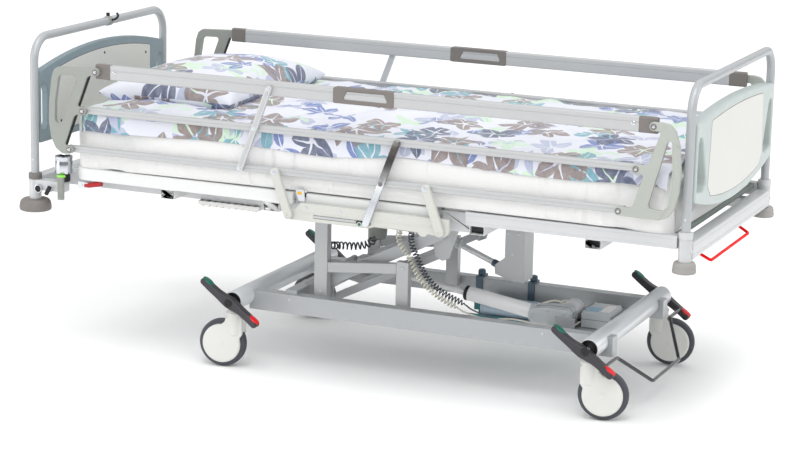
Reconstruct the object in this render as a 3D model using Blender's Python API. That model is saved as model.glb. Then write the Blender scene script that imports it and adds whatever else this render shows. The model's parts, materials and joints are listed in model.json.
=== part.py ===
"""Adjustable hospital bed: wheeled base, parallelogram lift, four-section mattress platform,
folding side rails, lift-out head and foot boards.

Frame: metres, +Z up, floor at z = 0. +X runs from the head end to the foot end and the near
side is -Y. The shapes are laid out from the middle of the wheeled base, and build() then moves
everything along X so that the origin is on the floor under the middle of the whole bed.
"""
import bmesh
import bpy
import math
from mathutils import Matrix, Vector

# ---------------------------------------------------------------- driving dimensions (metres)
ORIGIN_SHIFT = 0.19225             # middle of the base to the middle of the whole bed
GAP = 0.0003                       # running and seating gap between neighbouring solids
# base
TUBE_X, TUBE_Z, TUBE_R, TUBE_BORE = 0.574, 0.213, 0.030, 0.0265
TUBE_HALF = 0.350                  # half length of a cross tube
BASE_RAIL_Y0, BASE_RAIL_Y1 = 0.223, 0.263
BASE_RAIL_Z0, BASE_RAIL_Z1 = 0.171, 0.231
BASE_RAIL_END = 0.616              # the side rails run under the foot cross tube to here
CROSS_X0, CROSS_X1 = -0.445, -0.405
# casters
WHEEL_R, WHEEL_W, AXLE_R = 0.075, 0.030, 0.006
STEM_X, STEM_Y, TRAIL, YAW = 0.574, 0.327, 0.041, math.radians(8.0)
COLUMN_R, COLUMN_TOP = 0.029, 0.1815
# brake pedals
PEDAL_Y0, PEDAL_Y1 = 0.3565, 0.3845
PEDAL_HALF, PEDAL_TILT, SHAFT_R = 0.103, math.radians(-34.0), 0.009
# lift arms: lower pivots on the base, upper pivots on the frame
ARM_BASE = (-0.345, 0.264)
ARM_TOP = (0.032, 0.455)
ARM_DROP = 0.065                   # lower arm pivots sit this far below the upper ones
ARM_Y0, ARM_Y1 = 0.157, 0.177      # upper arms
LOW_Y0, LOW_Y1 = 0.123, 0.143      # lower arms
PLATE_Y0, PLATE_Y1 = 0.1455, 0.1545
LIFT_BAR = (-0.295, 0.318)         # cross bar the lift actuator pushes
LIFT_MOTOR = (0.418, 0.212)        # actuator's rear pivot
LIFT_Y = -0.085
TORSION_R = 0.0095                 # tube that joins the upper arms on their lower pivot axis
# upper frame
BEAM_Y0, BEAM_Y1 = 0.280, 0.320
HEAD_BEAM_Z0, HEAD_BEAM_Z1 = 0.511, 0.553
RIM_Y0, RIM_Y1 = 0.396, 0.430
RIM_Z0, RIM_Z1 = 0.555, 0.593
PLATFORM_Z0 = 0.579
POST_R = 0.013
HEAD_X, HEAD_Y, HEAD_SOCKET = -1.236, 0.408, (0.477, 0.556)
FOOT_X, FOOT_Y, FOOT_SOCKET = 0.864, 0.414, (0.521, 0.603)
SOCKET_R = 0.019
BACK_PIVOT = (-0.315, 0.587)
THIGH_PIVOT = (0.120, 0.587)
KNEE_PIVOT = (0.450, 0.587)
BACK_END, CALF_END = -1.095, 0.838
BACK_LEVER = (-0.262, 0.500)       # end of the lever under the back section
BACK_NOSE = (0.168, 0.333)         # back actuator's pivot on the hanging channel
# mattress
MAT_Z0, MAT_Z1, MAT_Y = 0.5935, 0.762, 0.424
BACK_HALF_ANGLE, THIGH_HALF_ANGLE = math.radians(35.5), math.radians(18.0)
FOOT_END_LEAN = math.radians(4.6)  # keeps the mattress end clear of the foot board as the knee rises
# side rails: layer 1 holds the bars, layer 2 the arms, struts and end pieces
L1 = (0.438, 0.458)
L2 = (0.4583, 0.4703)
BR = (0.440, 0.4575)
PITCH_Z, LEAN_X = 0.123, 0.0458    # one level of the rail: rise and lean
RAIL_Z = (0.532, 0.655, 0.778, 0.901)
END_HEAD_X, END_FOOT_X = -1.0754, 0.6830
STRUT_A_X, STRUT_B_X = -0.4948, -0.0843
ARM1_X, ARM2_X = -0.3340, 0.1484


# ---------------------------------------------------------------- helpers
def clear_scene():
    for o in list(bpy.data.objects):
        bpy.data.objects.remove(o, do_unlink=True)


MATS = {}


def material(name, rgb, rough, metal=0.0):
    m = bpy.data.materials.new(name)
    m.use_nodes = True
    b = m.node_tree.nodes["Principled BSDF"]
    b.inputs["Base Color"].default_value = (*rgb, 1)
    b.inputs["Roughness"].default_value = rough
    b.inputs["Metallic"].default_value = metal
    return m


LOOKS = {
    "silver_paint": ((0.72, 0.73, 0.74), 0.40, 0.3), "base_paint": ((0.66, 0.68, 0.69), 0.42, 0.3),
    "white_paint": ((0.86, 0.86, 0.85), 0.45, 0.0), "cream": ((0.84, 0.84, 0.79), 0.45, 0.0),
    "grey_plastic": ((0.55, 0.56, 0.53), 0.5, 0.0), "blue_grey": ((0.47, 0.53, 0.55), 0.5, 0.0),
    "pale_grey": ((0.72, 0.74, 0.71), 0.5, 0.0), "tyre": ((0.18, 0.19, 0.21), 0.7, 0.0),
    "pedal": ((0.11, 0.10, 0.10), 0.5, 0.0), "chrome": ((0.8, 0.8, 0.82), 0.12, 1.0),
    "aluminium": ((0.75, 0.75, 0.76), 0.3, 0.9), "red": ((0.80, 0.03, 0.04), 0.4, 0.0),
    "motor_grey": ((0.50, 0.51, 0.50), 0.5, 0.0), "gas_blue": ((0.35, 0.43, 0.50), 0.4, 0.1),
    "teal": ((0.03, 0.33, 0.36), 0.5, 0.0), "fabric": ((0.85, 0.85, 0.86), 0.9, 0.0),
}


def link(me, name, look, smooth=False):
    ob = bpy.data.objects.new(name, me)
    bpy.context.scene.collection.objects.link(ob)
    # every piece has a material of its own
    m = material(name + "_mat", *LOOKS[look]) if look else None
    me.materials.clear()
    if m:
        me.materials.append(m)
    if smooth:
        me.shade_smooth()
        me.set_sharp_from_angle(angle=math.radians(35))
    return ob


def to_mesh(bm, name):
    bmesh.ops.recalc_face_normals(bm, faces=bm.faces)
    me = bpy.data.meshes.new(name)
    bm.to_mesh(me)
    bm.free()
    me.update()
    return me


def put(axis, a, b, c):
    """A point with out-of-plane coordinate c for a profile drawn in the plane normal to axis."""
    return {"x": (c, a, b), "y": (a, c, b), "z": (a, b, c)}[axis]


def prism(axis, outline, c0, c1, holes=()):
    """A flat outline (with optional holes) pushed from c0 to c1 along an axis."""
    bm = bmesh.new()
    edges = []
    for loop in (outline, *holes):
        vs = [bm.verts.new(put(axis, p[0], p[1], c0)) for p in loop]
        for i in range(len(vs)):
            edges.append(bm.edges.new((vs[i], vs[(i + 1) % len(vs)])))
    if holes:
        bmesh.ops.triangle_fill(bm, use_beauty=True, use_dissolve=False, edges=edges)
    else:
        bm.faces.new([v for v in bm.verts])
    faces = list(bm.faces)
    ext = bmesh.ops.extrude_face_region(bm, geom=faces)
    move = Vector(put(axis, 0, 0, c1 - c0))
    bmesh.ops.translate(bm, vec=move, verts=[v for v in ext["geom"] if isinstance(v, bmesh.types.BMVert)])
    return to_mesh(bm, "prism")


def box(x0, x1, y0, y1, z0, z1):
    return prism("z", [(x0, y0), (x1, y0), (x1, y1), (x0, y1)], z0, z1)


def cyl(p0, p1, r, seg=16):
    p0, p1 = Vector(p0), Vector(p1)
    bm = bmesh.new()
    rot = (p1 - p0).to_track_quat("Z", "Y").to_matrix().to_4x4()
    bmesh.ops.create_cone(bm, cap_ends=True, segments=seg, radius1=r, radius2=r, depth=(p1 - p0).length,
                          matrix=Matrix.Translation((p0 + p1) / 2) @ rot)
    return to_mesh(bm, "cyl")


def pipe(p0, p1, r_out, r_in, seg=20):
    """A tube open at both ends."""
    p0, p1 = Vector(p0), Vector(p1)
    n = (p1 - p0).normalized()
    u = n.orthogonal().normalized()
    w = n.cross(u)
    bm = bmesh.new()
    rings = []
    for p, r in ((p0, r_out), (p1, r_out), (p1, r_in), (p0, r_in)):
        rings.append([bm.verts.new(p + r * (math.cos(t) * u + math.sin(t) * w))
                      for t in (2 * math.pi * i / seg for i in range(seg))])
    for k in range(4):
        a, b = rings[k], rings[(k + 1) % 4]
        for i in range(seg):
            j = (i + 1) % seg
            bm.faces.new((a[i], a[j], b[j], b[i]))
    return to_mesh(bm, "pipe")


def cup(centre, z0, z1, r_out, r_in, floor, seg=20):
    """An upright round socket, closed below, with a bore from the top down to height floor."""
    cx, cy = centre
    bm = bmesh.new()
    rings = [[bm.verts.new((cx + r * math.cos(2 * math.pi * i / seg), cy + r * math.sin(2 * math.pi * i / seg), z))
              for i in range(seg)] for z, r in ((z0, r_out), (z1, r_out), (z1, r_in), (floor, r_in))]
    for a, b in zip(rings, rings[1:]):
        for i in range(seg):
            j = (i + 1) % seg
            bm.faces.new((a[i], a[j], b[j], b[i]))
    bm.faces.new(rings[0])
    bm.faces.new(rings[-1])
    return to_mesh(bm, "cup")


def fillet(points, radius, steps=5):
    """Replaces each inner corner of a polyline by an arc."""
    pts = [Vector(p) for p in points]
    out = [pts[0]]
    for a, b, c in zip(pts, pts[1:], pts[2:]):
        d0, d1 = (a - b).normalized(), (c - b).normalized()
        ang = d0.angle(d1)
        if ang > math.radians(178):
            out.append(b)
            continue
        t = min(radius / math.tan(ang / 2), 0.48 * (a - b).length, 0.48 * (c - b).length)
        r = t * math.tan(ang / 2)
        centre = b + (d0 + d1).normalized() * (r / math.sin(ang / 2))
        s, e = b + d0 * t - centre, b + d1 * t - centre
        total = s.angle(e)
        axis = s.cross(e).normalized()
        for k in range(steps + 1):
            out.append(centre + Matrix.Rotation(total * k / steps, 3, axis) @ s)
    out.append(pts[-1])
    return out


def sweep(points, r, seg=10):
    """A round rod along a line of points, with flat ends."""
    pts = [Vector(p) for p in points]
    bm = bmesh.new()
    t_prev = (pts[1] - pts[0]).normalized()
    u = t_prev.orthogonal().normalized()
    rings = []
    for i, p in enumerate(pts):
        if i == 0:
            t = t_prev
        elif i == len(pts) - 1:
            t = (pts[i] - pts[i - 1]).normalized()
        else:
            t = ((pts[i + 1] - p).normalized() + (p - pts[i - 1]).normalized()).normalized()
        u = (t_prev.rotation_difference(t) @ u).normalized()
        t_prev = t
        w = t.cross(u)
        rings.append([bm.verts.new(p + r * (math.cos(2 * math.pi * k / seg) * u + math.sin(2 * math.pi * k / seg) * w))
                      for k in range(seg)])
    for a, b in zip(rings, rings[1:]):
        for i in range(seg):
            j = (i + 1) % seg
            bm.faces.new((a[i], a[j], b[j], b[i]))
    bm.faces.new(list(reversed(rings[0])))
    bm.faces.new(rings[-1])
    return to_mesh(bm, "sweep")


def lathe_y(profile, cx, cz, cy, seg=24):
    """A closed (radius, y) profile turned about an axis along Y through (cx, cz)."""
    bm = bmesh.new()
    rings = [[bm.verts.new((cx + r * math.cos(2 * math.pi * i / seg), cy + y, cz + r * math.sin(2 * math.pi * i / seg)))
              for i in range(seg)] for r, y in profile]
    n = len(rings)
    for k in range(n):
        a, b = rings[k], rings[(k + 1) % n]
        for i in range(seg):
            j = (i + 1) % seg
            bm.faces.new((a[i], a[j], b[j], b[i]))
    return to_mesh(bm, "lathe")


def capsule(p0, p1, r, steps=5):
    """Outline of a bar with round ends, about two points."""
    a, b = Vector((p0[0], p0[1])), Vector((p1[0], p1[1]))
    d = (b - a).normalized()
    ang = math.atan2(d.y, d.x)
    out = []
    for c, s in ((b, ang - math.pi / 2), (a, ang + math.pi / 2)):
        for k in range(steps + 1):
            t = s + math.pi * k / steps
            out.append((c.x + r * math.cos(t), c.y + r * math.sin(t)))
    return out


def arc(cx, cy, r, a0, a1, steps=4):
    return [(cx + r * math.cos(math.radians(a0 + (a1 - a0) * k / steps)),
             cy + r * math.sin(math.radians(a0 + (a1 - a0) * k / steps))) for k in range(steps + 1)]


def combine(first, others, operation):
    """Boolean union or difference of meshes, applied."""
    base = bpy.data.objects.new("work", first)
    bpy.context.scene.collection.objects.link(base)
    tools = []
    for me in others:
        t = bpy.data.objects.new("tool", me)
        bpy.context.scene.collection.objects.link(t)
        t.hide_render = True
        t.display_type = "WIRE"
        m = base.modifiers.new("b", "BOOLEAN")
        m.operation, m.solver, m.object = operation, "EXACT", t
        tools.append(t)
    bpy.context.view_layer.update()
    dg = bpy.context.evaluated_depsgraph_get()
    me = bpy.data.meshes.new_from_object(base.evaluated_get(dg))
    for o in (base, *tools):
        bpy.data.objects.remove(o, do_unlink=True)
    bm = bmesh.new()
    bm.from_mesh(me)
    bmesh.ops.remove_doubles(bm, verts=bm.verts, dist=1e-6)
    bmesh.ops.dissolve_degenerate(bm, edges=bm.edges, dist=1e-7)
    bm.to_mesh(me)
    bm.free()
    return me


def union(first, *others):
    return combine(first, others, "UNION")


def cut(first, *others):
    return combine(first, others, "DIFFERENCE")


def mirror_y(me):
    me = me.copy()
    me.transform(Matrix.Scale(-1, 4, (0, 1, 0)))
    me.flip_normals()
    return me


def about(ob, x, y, z):
    """Puts an object's origin on its joint's axis without moving its shape."""
    ob.data.transform(Matrix.Translation((-x, -y, -z)))
    ob.location = (x, y, z)
    return ob


def both(fn):
    """A mesh and its mirror image, for pieces made in pairs."""
    me = fn()
    return me, mirror_y(me)


# ---------------------------------------------------------------- base
def base_frame():
    rail = cut(box(-TUBE_X, BASE_RAIL_END, -BASE_RAIL_Y1, -BASE_RAIL_Y0, BASE_RAIL_Z0, BASE_RAIL_Z1),
               cyl((-TUBE_X, -0.5, TUBE_Z), (-TUBE_X, 0.0, TUBE_Z), TUBE_R + GAP, 24),
               cyl((TUBE_X, -0.5, TUBE_Z), (TUBE_X, 0.0, TUBE_Z), TUBE_R + GAP, 24),
               box(-0.7, -TUBE_X + 0.012, -0.5, 0, 0.1, 0.3))
    far = mirror_y(rail)
    zc = ARM_BASE[1] - ARM_DROP
    bracket = prism("y", [(CROSS_X1 - 0.02, 0.195), (CROSS_X1 - 0.02, 0.245), (ARM_BASE[0] - 0.02, ARM_BASE[1] + 0.016),
                          (ARM_BASE[0] + 0.016, ARM_BASE[1] + 0.016), (ARM_BASE[0] + 0.02, zc - 0.016),
                          (ARM_BASE[0] - 0.02, zc - 0.018)], -PLATE_Y1, -PLATE_Y0)
    # the torsion tube of the upper arms runs through this plate
    bracket = cut(bracket, cyl((ARM_BASE[0], -0.2, ARM_BASE[1]), (ARM_BASE[0], -0.1, ARM_BASE[1]), TORSION_R + 0.0006, 20))
    motor_plates = [box(LIFT_MOTOR[0] - 0.030, LIFT_MOTOR[0] + 0.034, y0, y1, 0.1925, LIFT_MOTOR[1] + 0.022)
                    for y0, y1 in ((LIFT_Y - 0.044, LIFT_Y - 0.038),)]
    return union(rail, far,
                 box(CROSS_X0, CROSS_X1, -0.25, 0.25, 0.193, 0.243),
                 box(LIFT_MOTOR[0] - 0.034, LIFT_MOTOR[0] + 0.084, -0.25, 0.25, 0.1865, 0.1935),
                 bracket, mirror_y(bracket), *motor_plates)


def cross_tube(sign):
    x = sign * TUBE_X
    return pipe((x, -TUBE_HALF, TUBE_Z), (x, TUBE_HALF, TUBE_Z), TUBE_R, TUBE_BORE, 24)


def control_box():
    return prism("y", [(0.450, 0.1942), (0.5430, 0.1942), (0.5430, 0.236), (0.536, 0.245), (0.457, 0.245), (0.450, 0.238)],
                 -0.066, 0.052)


def cylinder_cradle():
    """Open tray with two straps that hook over the far side rail."""
    y0, y1 = BASE_RAIL_Y0, BASE_RAIL_Y1
    tray = prism("x", [(0.118, 0.140), (0.124, 0.140), (0.124, 0.118), (0.206, 0.118), (0.206, 0.172), (0.2127, 0.172),
                       (0.2127, 0.112), (0.118, 0.112)], 0.015, 0.335)
    top = BASE_RAIL_Z1 + 0.0005
    hooks = [prism("x", [(0.207, 0.150), (y0 - 0.0005, 0.150), (y0 - 0.0005, top), (y1 + 0.0008, top), (y1 + 0.0008, 0.205),
                         (y1 + 0.0053, 0.205), (y1 + 0.0053, top + 0.0048), (y0 - 0.0050, top + 0.0048), (y0 - 0.0050, 0.1545),
                         (0.207, 0.1545)], x - 0.010, x + 0.010) for x in (0.0095, 0.185)]
    # the first strap stands a little proud of the tray's end
    hooks.append(prism("x", [(0.206, 0.130), (0.2127, 0.130), (0.2127, 0.1545), (0.206, 0.1545)], -0.0005, 0.016))
    return union(tray, *hooks)


def oxygen_cylinder():
    seg, cy, cz = 18, 0.165, 0.1545
    profile = [(0.028, 0.044), (0.036, 0.058), (0.036, 0.262), (0.030, 0.278), (0.014, 0.288), (0.011, 0.308)]
    bm = bmesh.new()
    rings = [[bm.verts.new((x, cy + r * math.cos(2 * math.pi * i / seg), cz + r * math.sin(2 * math.pi * i / seg)))
              for i in range(seg)] for r, x in profile]
    for a, b in zip(rings, rings[1:]):
        for i in range(seg):
            j = (i + 1) % seg
            bm.faces.new((a[i], a[j], b[j], b[i]))
    bm.faces.new(rings[0])
    bm.faces.new(rings[-1])
    return to_mesh(bm, "gas")


# ---------------------------------------------------------------- casters
def wheel_centre(sx, sy):
    return (sx * (STEM_X + TRAIL * math.cos(YAW)), sy * STEM_Y + sx * TRAIL * math.sin(YAW))


def caster_meshes(sx, sy):
    """Fork and wheel built about the stem with the wheel trailing along +X, then turned into place."""
    w = WHEEL_W / 2
    wheel = lathe_y([(AXLE_R + GAP, -w), (0.055, -w), (0.066, -w + 0.001), (WHEEL_R - 0.002, -w + 0.006),
                     (WHEEL_R, -0.004), (WHEEL_R, 0.004), (WHEEL_R - 0.002, w - 0.006), (0.066, w - 0.001),
                     (0.055, w), (AXLE_R + GAP, w)], TRAIL, WHEEL_R, 0.0, 24)
    column = cyl((0, 0, 0.060), (0, 0, COLUMN_TOP), COLUMN_R, 20)
    cheeks = cyl((TRAIL, -w - 0.009, WHEEL_R), (TRAIL, w + 0.009, WHEEL_R), 0.055, 28)
    body = union(column, cheeks)
    gone = cyl((TRAIL, -w - 0.0006, WHEEL_R), (TRAIL, w + 0.0006, WHEEL_R), WHEEL_R + 0.003, 28)
    fork = union(cut(body, gone), cyl((TRAIL, -w - 0.004, WHEEL_R), (TRAIL, w + 0.004, WHEEL_R), AXLE_R, 12))
    turn = Matrix.Translation((sx * STEM_X, sy * STEM_Y, 0)) @ Matrix.Rotation(YAW + (math.pi if sx < 0 else 0), 4, "Z")
    for me in (wheel, fork):
        me.transform(turn)
    return fork, wheel


# ---------------------------------------------------------------- brake pedals
def lever(sx, side):
    # the foot pedals sit a little below and inboard of their shaft
    cx, cz = sx * TUBE_X - (0.010 if sx > 0 else 0.0), TUBE_Z - (0.005 if sx > 0 else 0.0)
    d = Vector((math.cos(PEDAL_TILT), math.sin(PEDAL_TILT)))
    n = Vector((-d.y, d.x))
    pts = []
    for s, h in ((-1, 0.011), (1, 0.011)):
        c = Vector((cx, cz)) + d * s * PEDAL_HALF
        a0 = math.atan2(n.y, n.x) if s < 0 else math.atan2(-n.y, -n.x)
        pts.append([(c.x + h * math.cos(a0 + math.pi * k / 5), c.y + h * math.sin(a0 + math.pi * k / 5)) for k in range(6)])
    low = Vector((cx, cz)) - n * 0.0165
    high = Vector((cx, cz)) + n * 0.0165
    outline = pts[0] + [(low - d * 0.02)[:], (low + d * 0.02)[:]] + pts[1] + [(high + d * 0.02)[:], (high - d * 0.02)[:]]
    return prism("y", outline, side * PEDAL_Y0, side * PEDAL_Y1)


def brake_pedals(sx):
    shaft = cyl((sx * TUBE_X, -PEDAL_Y0 - 0.01, TUBE_Z), (sx * TUBE_X, PEDAL_Y0 + 0.01, TUBE_Z), SHAFT_R, 12)
    parts = [lever(sx, -1), lever(sx, 1)]
    if sx > 0:
        x0, z0, x1, z1 = 0.630, 0.1715, 0.703, 0.078
        path = fillet([(x0, -PEDAL_Y0 - 0.012, z0), (x0, -0.257, z0), (x1, -0.130, z1), (x1, 0.130, z1), (x0, 0.257, z0),
                       (x0, PEDAL_Y0 + 0.012, z0)], 0.022, 3)
        parts.append(sweep(path, 0.0055, 8))
    return union(shaft, *parts)


# ---------------------------------------------------------------- lift
def lift_arm_upper():
    """Two arms on a torsion tube, with the crank that the actuator pushes."""
    a = Vector(ARM_BASE)
    b = Vector(ARM_TOP)
    one = prism("y", capsule(a, b, 0.019), -ARM_Y1, -ARM_Y0)
    tube = cyl((a.x, -ARM_Y1 + 0.004, a.y), (a.x, ARM_Y1 - 0.004, a.y), TORSION_R, 16)
    cranks = [prism("y", capsule(a, LIFT_BAR, 0.014), LIFT_Y + y - 0.0025, LIFT_Y + y + 0.0025) for y in (-0.0160, 0.0160)]
    pin = cyl((LIFT_BAR[0], LIFT_Y - 0.017, LIFT_BAR[1]), (LIFT_BAR[0], LIFT_Y + 0.017, LIFT_BAR[1]), 0.007, 12)
    return union(one, mirror_y(one), tube, pin, *cranks)


def lift_arm_lower():
    a = Vector(ARM_BASE) - Vector((0, ARM_DROP))
    b = Vector(ARM_TOP) - Vector((0, ARM_DROP))
    one = prism("y", capsule(a, b, 0.012), -LOW_Y1, -LOW_Y0)
    d = (b - a).normalized()
    mid = a + d * 0.115 - Vector((-d.y, d.x)) * 0.003
    return union(one, mirror_y(one),
                 cyl((mid.x, -LOW_Y1 + 0.004, mid.y), (mid.x, LOW_Y1 - 0.004, mid.y), 0.006, 10))


def lift_dir():
    d = Vector((LIFT_BAR[0] - LIFT_MOTOR[0], 0, LIFT_BAR[1] - LIFT_MOTOR[1]))
    return d.length, d.normalized()


def lift_actuator_body():
    """Gear housing, cross-mounted motor and outer tube; the tube is bored for the rod."""
    length, d = lift_dir()
    m = Vector((LIFT_MOTOR[0], LIFT_Y, LIFT_MOTOR[1]))
    gear = prism("y", [(m.x - 0.115, m.z - 0.002), (m.x - 0.104, m.z - 0.012), (m.x + 0.004, m.z - 0.0165),
                       (m.x + 0.014, m.z - 0.006), (m.x + 0.014, m.z + 0.030), (m.x + 0.002, m.z + 0.042),
                       (m.x - 0.060, m.z + 0.043), (m.x - 0.104, m.z + 0.036), (m.x - 0.115, m.z + 0.026)],
                 LIFT_Y - 0.034, LIFT_Y + 0.034)
    motor = cyl((m.x - 0.012, LIFT_Y + 0.03, m.z + 0.017), (m.x - 0.012, LIFT_Y + 0.100, m.z + 0.017), 0.032, 18)
    tube = cyl(m + d * 0.035, m + d * 0.335, 0.022, 14)
    bore = cyl(m + d * 0.062, m + d * 0.40, 0.0125, 12)
    return cut(union(gear, motor, tube), bore)


def lift_actuator_rod():
    length, d = lift_dir()
    m = Vector((LIFT_MOTOR[0], LIFT_Y, LIFT_MOTOR[1]))
    rod = cyl(m + d * 0.150, m + d * (length - 0.016), 0.010, 12)
    return rod


# ---------------------------------------------------------------- upper frame
def main_frame():
    parts = []
    for s in (-1, 1):
        def b(x0, x1, y0, y1, z0, z1):
            lo, hi = sorted((s * y0, s * y1))
            parts.append(box(x0, x1, lo, hi, z0, z1))
        b(-1.2150, -0.060, BEAM_Y0, BEAM_Y1, HEAD_BEAM_Z0, HEAD_BEAM_Z1)
        b(-0.140, 0.8435, BEAM_Y0 + 0.002, BEAM_Y1 - 0.002, 0.5365, 0.5660)
        b(0.2120, 0.8438, RIM_Y0, RIM_Y1, RIM_Z0, RIM_Z1)
        b(0.1290, 0.2400, 0.3920, 0.3985, 0.5250, 0.5840)
        # h-shaped stay: tall post, slanted bar, short post
        b(-0.3650, -0.3220, 0.185, 0.215, 0.205, 0.5290)
        b(-0.0930, -0.0530, 0.1870, 0.2130, 0.200, 0.3640)
        lo, hi = sorted((s * 0.189, s * 0.211))
        parts.append(prism("y", [(-0.330, 0.302), (-0.060, 0.328), (-0.060, 0.360), (-0.330, 0.334)], lo, hi))
        # hanging plate for the lift arm pivots
        lo, hi = sorted((s * PLATE_Y0, s * PLATE_Y1))
        px, pz = ARM_TOP
        parts.append(prism("y", [(px - 0.024, pz - ARM_DROP - 0.012), (px, pz - ARM_DROP - 0.022),
                                 (px + 0.024, pz - ARM_DROP - 0.012), (px + 0.070, 0.535), (px - 0.050, 0.535)], lo, hi))
    cross = [box(-0.3620, -0.3250, -0.300, -0.186, 0.5170, 0.5470), box(-0.3620, -0.3250, 0.186, 0.300, 0.5170, 0.5470),
             box(-0.2650, -0.2350, -0.4395, -0.290, 0.5190, 0.5490), box(-0.2650, -0.2350, 0.290, 0.4395, 0.5190, 0.5490),
             box(-0.0180, 0.0820, -0.310, 0.310, 0.5270, 0.5520),
             box(0.0850, 0.1150, -0.4395, 0.4395, 0.5205, 0.5450),
             box(0.2250, 0.2720, -0.4300, 0.4300, 0.5280, 0.5565),
             box(0.5760, 0.6240, -0.4300, 0.4300, 0.5280, 0.5565),
             box(-0.8600, -0.8300, -0.290, 0.290, 0.5150, 0.5450)]
    # channel that hangs down to the back actuator's pivot
    web = box(0.2480, 0.2540, -0.040, 0.040, 0.300, 0.5400)
    nose = [(0.190, 0.5450), (0.190, 0.372), (BACK_NOSE[0] - 0.010, BACK_NOSE[1] + 0.014), (BACK_NOSE[0] - 0.008, BACK_NOSE[1] - 0.014),
            (0.222, 0.300), (0.2535, 0.301), (0.2535, 0.5440)]
    channel = [prism("y", nose, -0.0400, -0.0350), prism("y", nose, 0.0350, 0.0400), web]
    frame = union(parts[0], *parts[1:], *cross, *channel)
    hollows = []
    for x0, x1 in ((0.2285, 0.2685), (0.5795, 0.6205)):
        for y0, y1 in ((-0.44, -0.36), (0.36, 0.44)):
            hollows.append(box(x0, x1, y0, y1, 0.5315, 0.5530))
    return cut(frame, *hollows)


def end_beam(x, half, socket, beam_z, bumper_r, bumper_h, extra=()):
    parts = [box(x - 0.0200, x + 0.0205, -half, half, *beam_z)]
    for s in (-1, 1):
        parts.append(cyl((x, s * half, socket[0] - 0.002), (x, s * half, socket[1]), SOCKET_R, 20))
        parts.append(cyl((x, s * half, socket[0] - bumper_h), (x, s * half, socket[0]), bumper_r, 24))
    parts.extend(extra)
    body = union(parts[0], *parts[1:])
    bores = [cyl((x, s * half, socket[0] + 0.020), (x, s * half, socket[1] + 0.05), POST_R + GAP, 16) for s in (-1, 1)]
    return cut(body, *bores)


def head_beam():
    extra = []
    for s in (-1, 1):
        lo, hi = sorted((s * 0.386, s * 0.424))
        extra.append(box(-1.2300, -1.1250, lo, hi, 0.5060, 0.5380))
        extra.append(cup((-1.1345, s * 0.405), 0.4900, 0.6190, 0.0265, 0.0200, 0.5400, 20))
    return end_beam(HEAD_X, HEAD_Y, HEAD_SOCKET, (0.5030, 0.5480), 0.050, 0.038, extra)


def foot_beam():
    return end_beam(FOOT_X, FOOT_Y, FOOT_SOCKET, (0.5230, 0.5740), 0.0340, 0.034)


def seat_section():
    parts = [box(BACK_PIVOT[0] + 0.010, THIGH_PIVOT[0] - 0.010, -0.420, 0.420, PLATFORM_Z0, RIM_Z1)]
    for s in (-1, 1):
        lo, hi = sorted((s * 0.398, s * RIM_Y1))
        parts.append(box(-0.2940, 0.1060, lo, hi, RIM_Z0, RIM_Z1 - 0.0005))
        lo, hi = sorted((s * 0.29, s * 0.31))
        for x in (-0.22, 0.02):
            parts.append(box(x - 0.012, x + 0.012, lo, hi, 0.5663 if x > -0.14 else 0.5533, 0.5800))
    return union(parts[0], *parts[1:])


def back_section():
    x0, x1, r = BACK_END, BACK_PIVOT[0] - 0.010, 0.060
    corner = arc(x0 + r, RIM_Y1 - r, r, 180, 90, 4)
    outline = corner + [(x1 - 0.012, RIM_Y1), (x1 - 0.012, -RIM_Y1)] + [(x, -y) for x, y in reversed(corner)]
    plate = prism("z", outline, PLATFORM_Z0, RIM_Z1)
    rin = r - 0.034
    ic = arc(x0 + r, RIM_Y1 - r, rin, 180, 90, 3)
    inner = ic + [(x1 + 0.05, RIM_Y0), (x1 + 0.05, -RIM_Y0)] + [(x, -y) for x, y in reversed(ic)]
    rim = cut(prism("z", outline, RIM_Z0, PLATFORM_Z0 + 0.002), prism("z", inner, RIM_Z0 - 0.01, PLATFORM_Z0 + 0.01))
    parts = [rim]
    for s in (-1, 1):
        for a, b in ((-0.7810, -0.7350), (-0.4350, -0.3820)):
            lo, hi = sorted((s * 0.336, s * 0.430))
            stub = box(a, b, lo, hi, 0.5270, 0.5600)
            lo, hi = sorted((s * 0.37, s * 0.44))
            parts.append(cut(stub, box(a + 0.0035, b - 0.0035, lo, hi, 0.5305, 0.5520)))
        lo, hi = sorted((s * 0.336, s * 0.350))
        parts.append(box(-0.79, -0.36, lo, hi, 0.5560, 0.5810))
    # pivot ears and the actuator lever under the platform
    parts.append(prism("y", [(x1 - 0.10, PLATFORM_Z0 + 0.002), (BACK_LEVER[0] - 0.055, BACK_LEVER[1] + 0.010),
                             (BACK_LEVER[0] - 0.012, BACK_LEVER[1] - 0.012), (BACK_LEVER[0] + 0.012, BACK_LEVER[1] - 0.004),
                             (BACK_LEVER[0] + 0.004, BACK_LEVER[1] + 0.016), (x1 - 0.014, PLATFORM_Z0 + 0.002)], -0.030, -0.022))
    return union(plate, *parts)


def leg_plate(x0, x1):
    rib = [box(x0 + 0.03, x1 - 0.03, s * 0.20 - 0.012, s * 0.20 + 0.012, 0.5672, PLATFORM_Z0 + 0.002) for s in (-1, 1)]
    return union(box(x0, x1, -0.388, 0.388, PLATFORM_Z0, RIM_Z1), *rib)


def back_dir():
    d = Vector((BACK_LEVER[0] - BACK_NOSE[0], 0, BACK_LEVER[1] - BACK_NOSE[1]))
    return d.length, d.normalized()


def back_actuator_rod():
    """Chromed rod pivoted between the channel's cheeks."""
    length, d = back_dir()
    p = Vector((BACK_NOSE[0], 0, BACK_NOSE[1]))
    eye = cyl((p.x, -0.010, p.z), (p.x, 0.010, p.z), 0.011, 12)
    return union(cyl(p + d * 0.002, p + d * 0.300, 0.0085, 12), eye)


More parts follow.
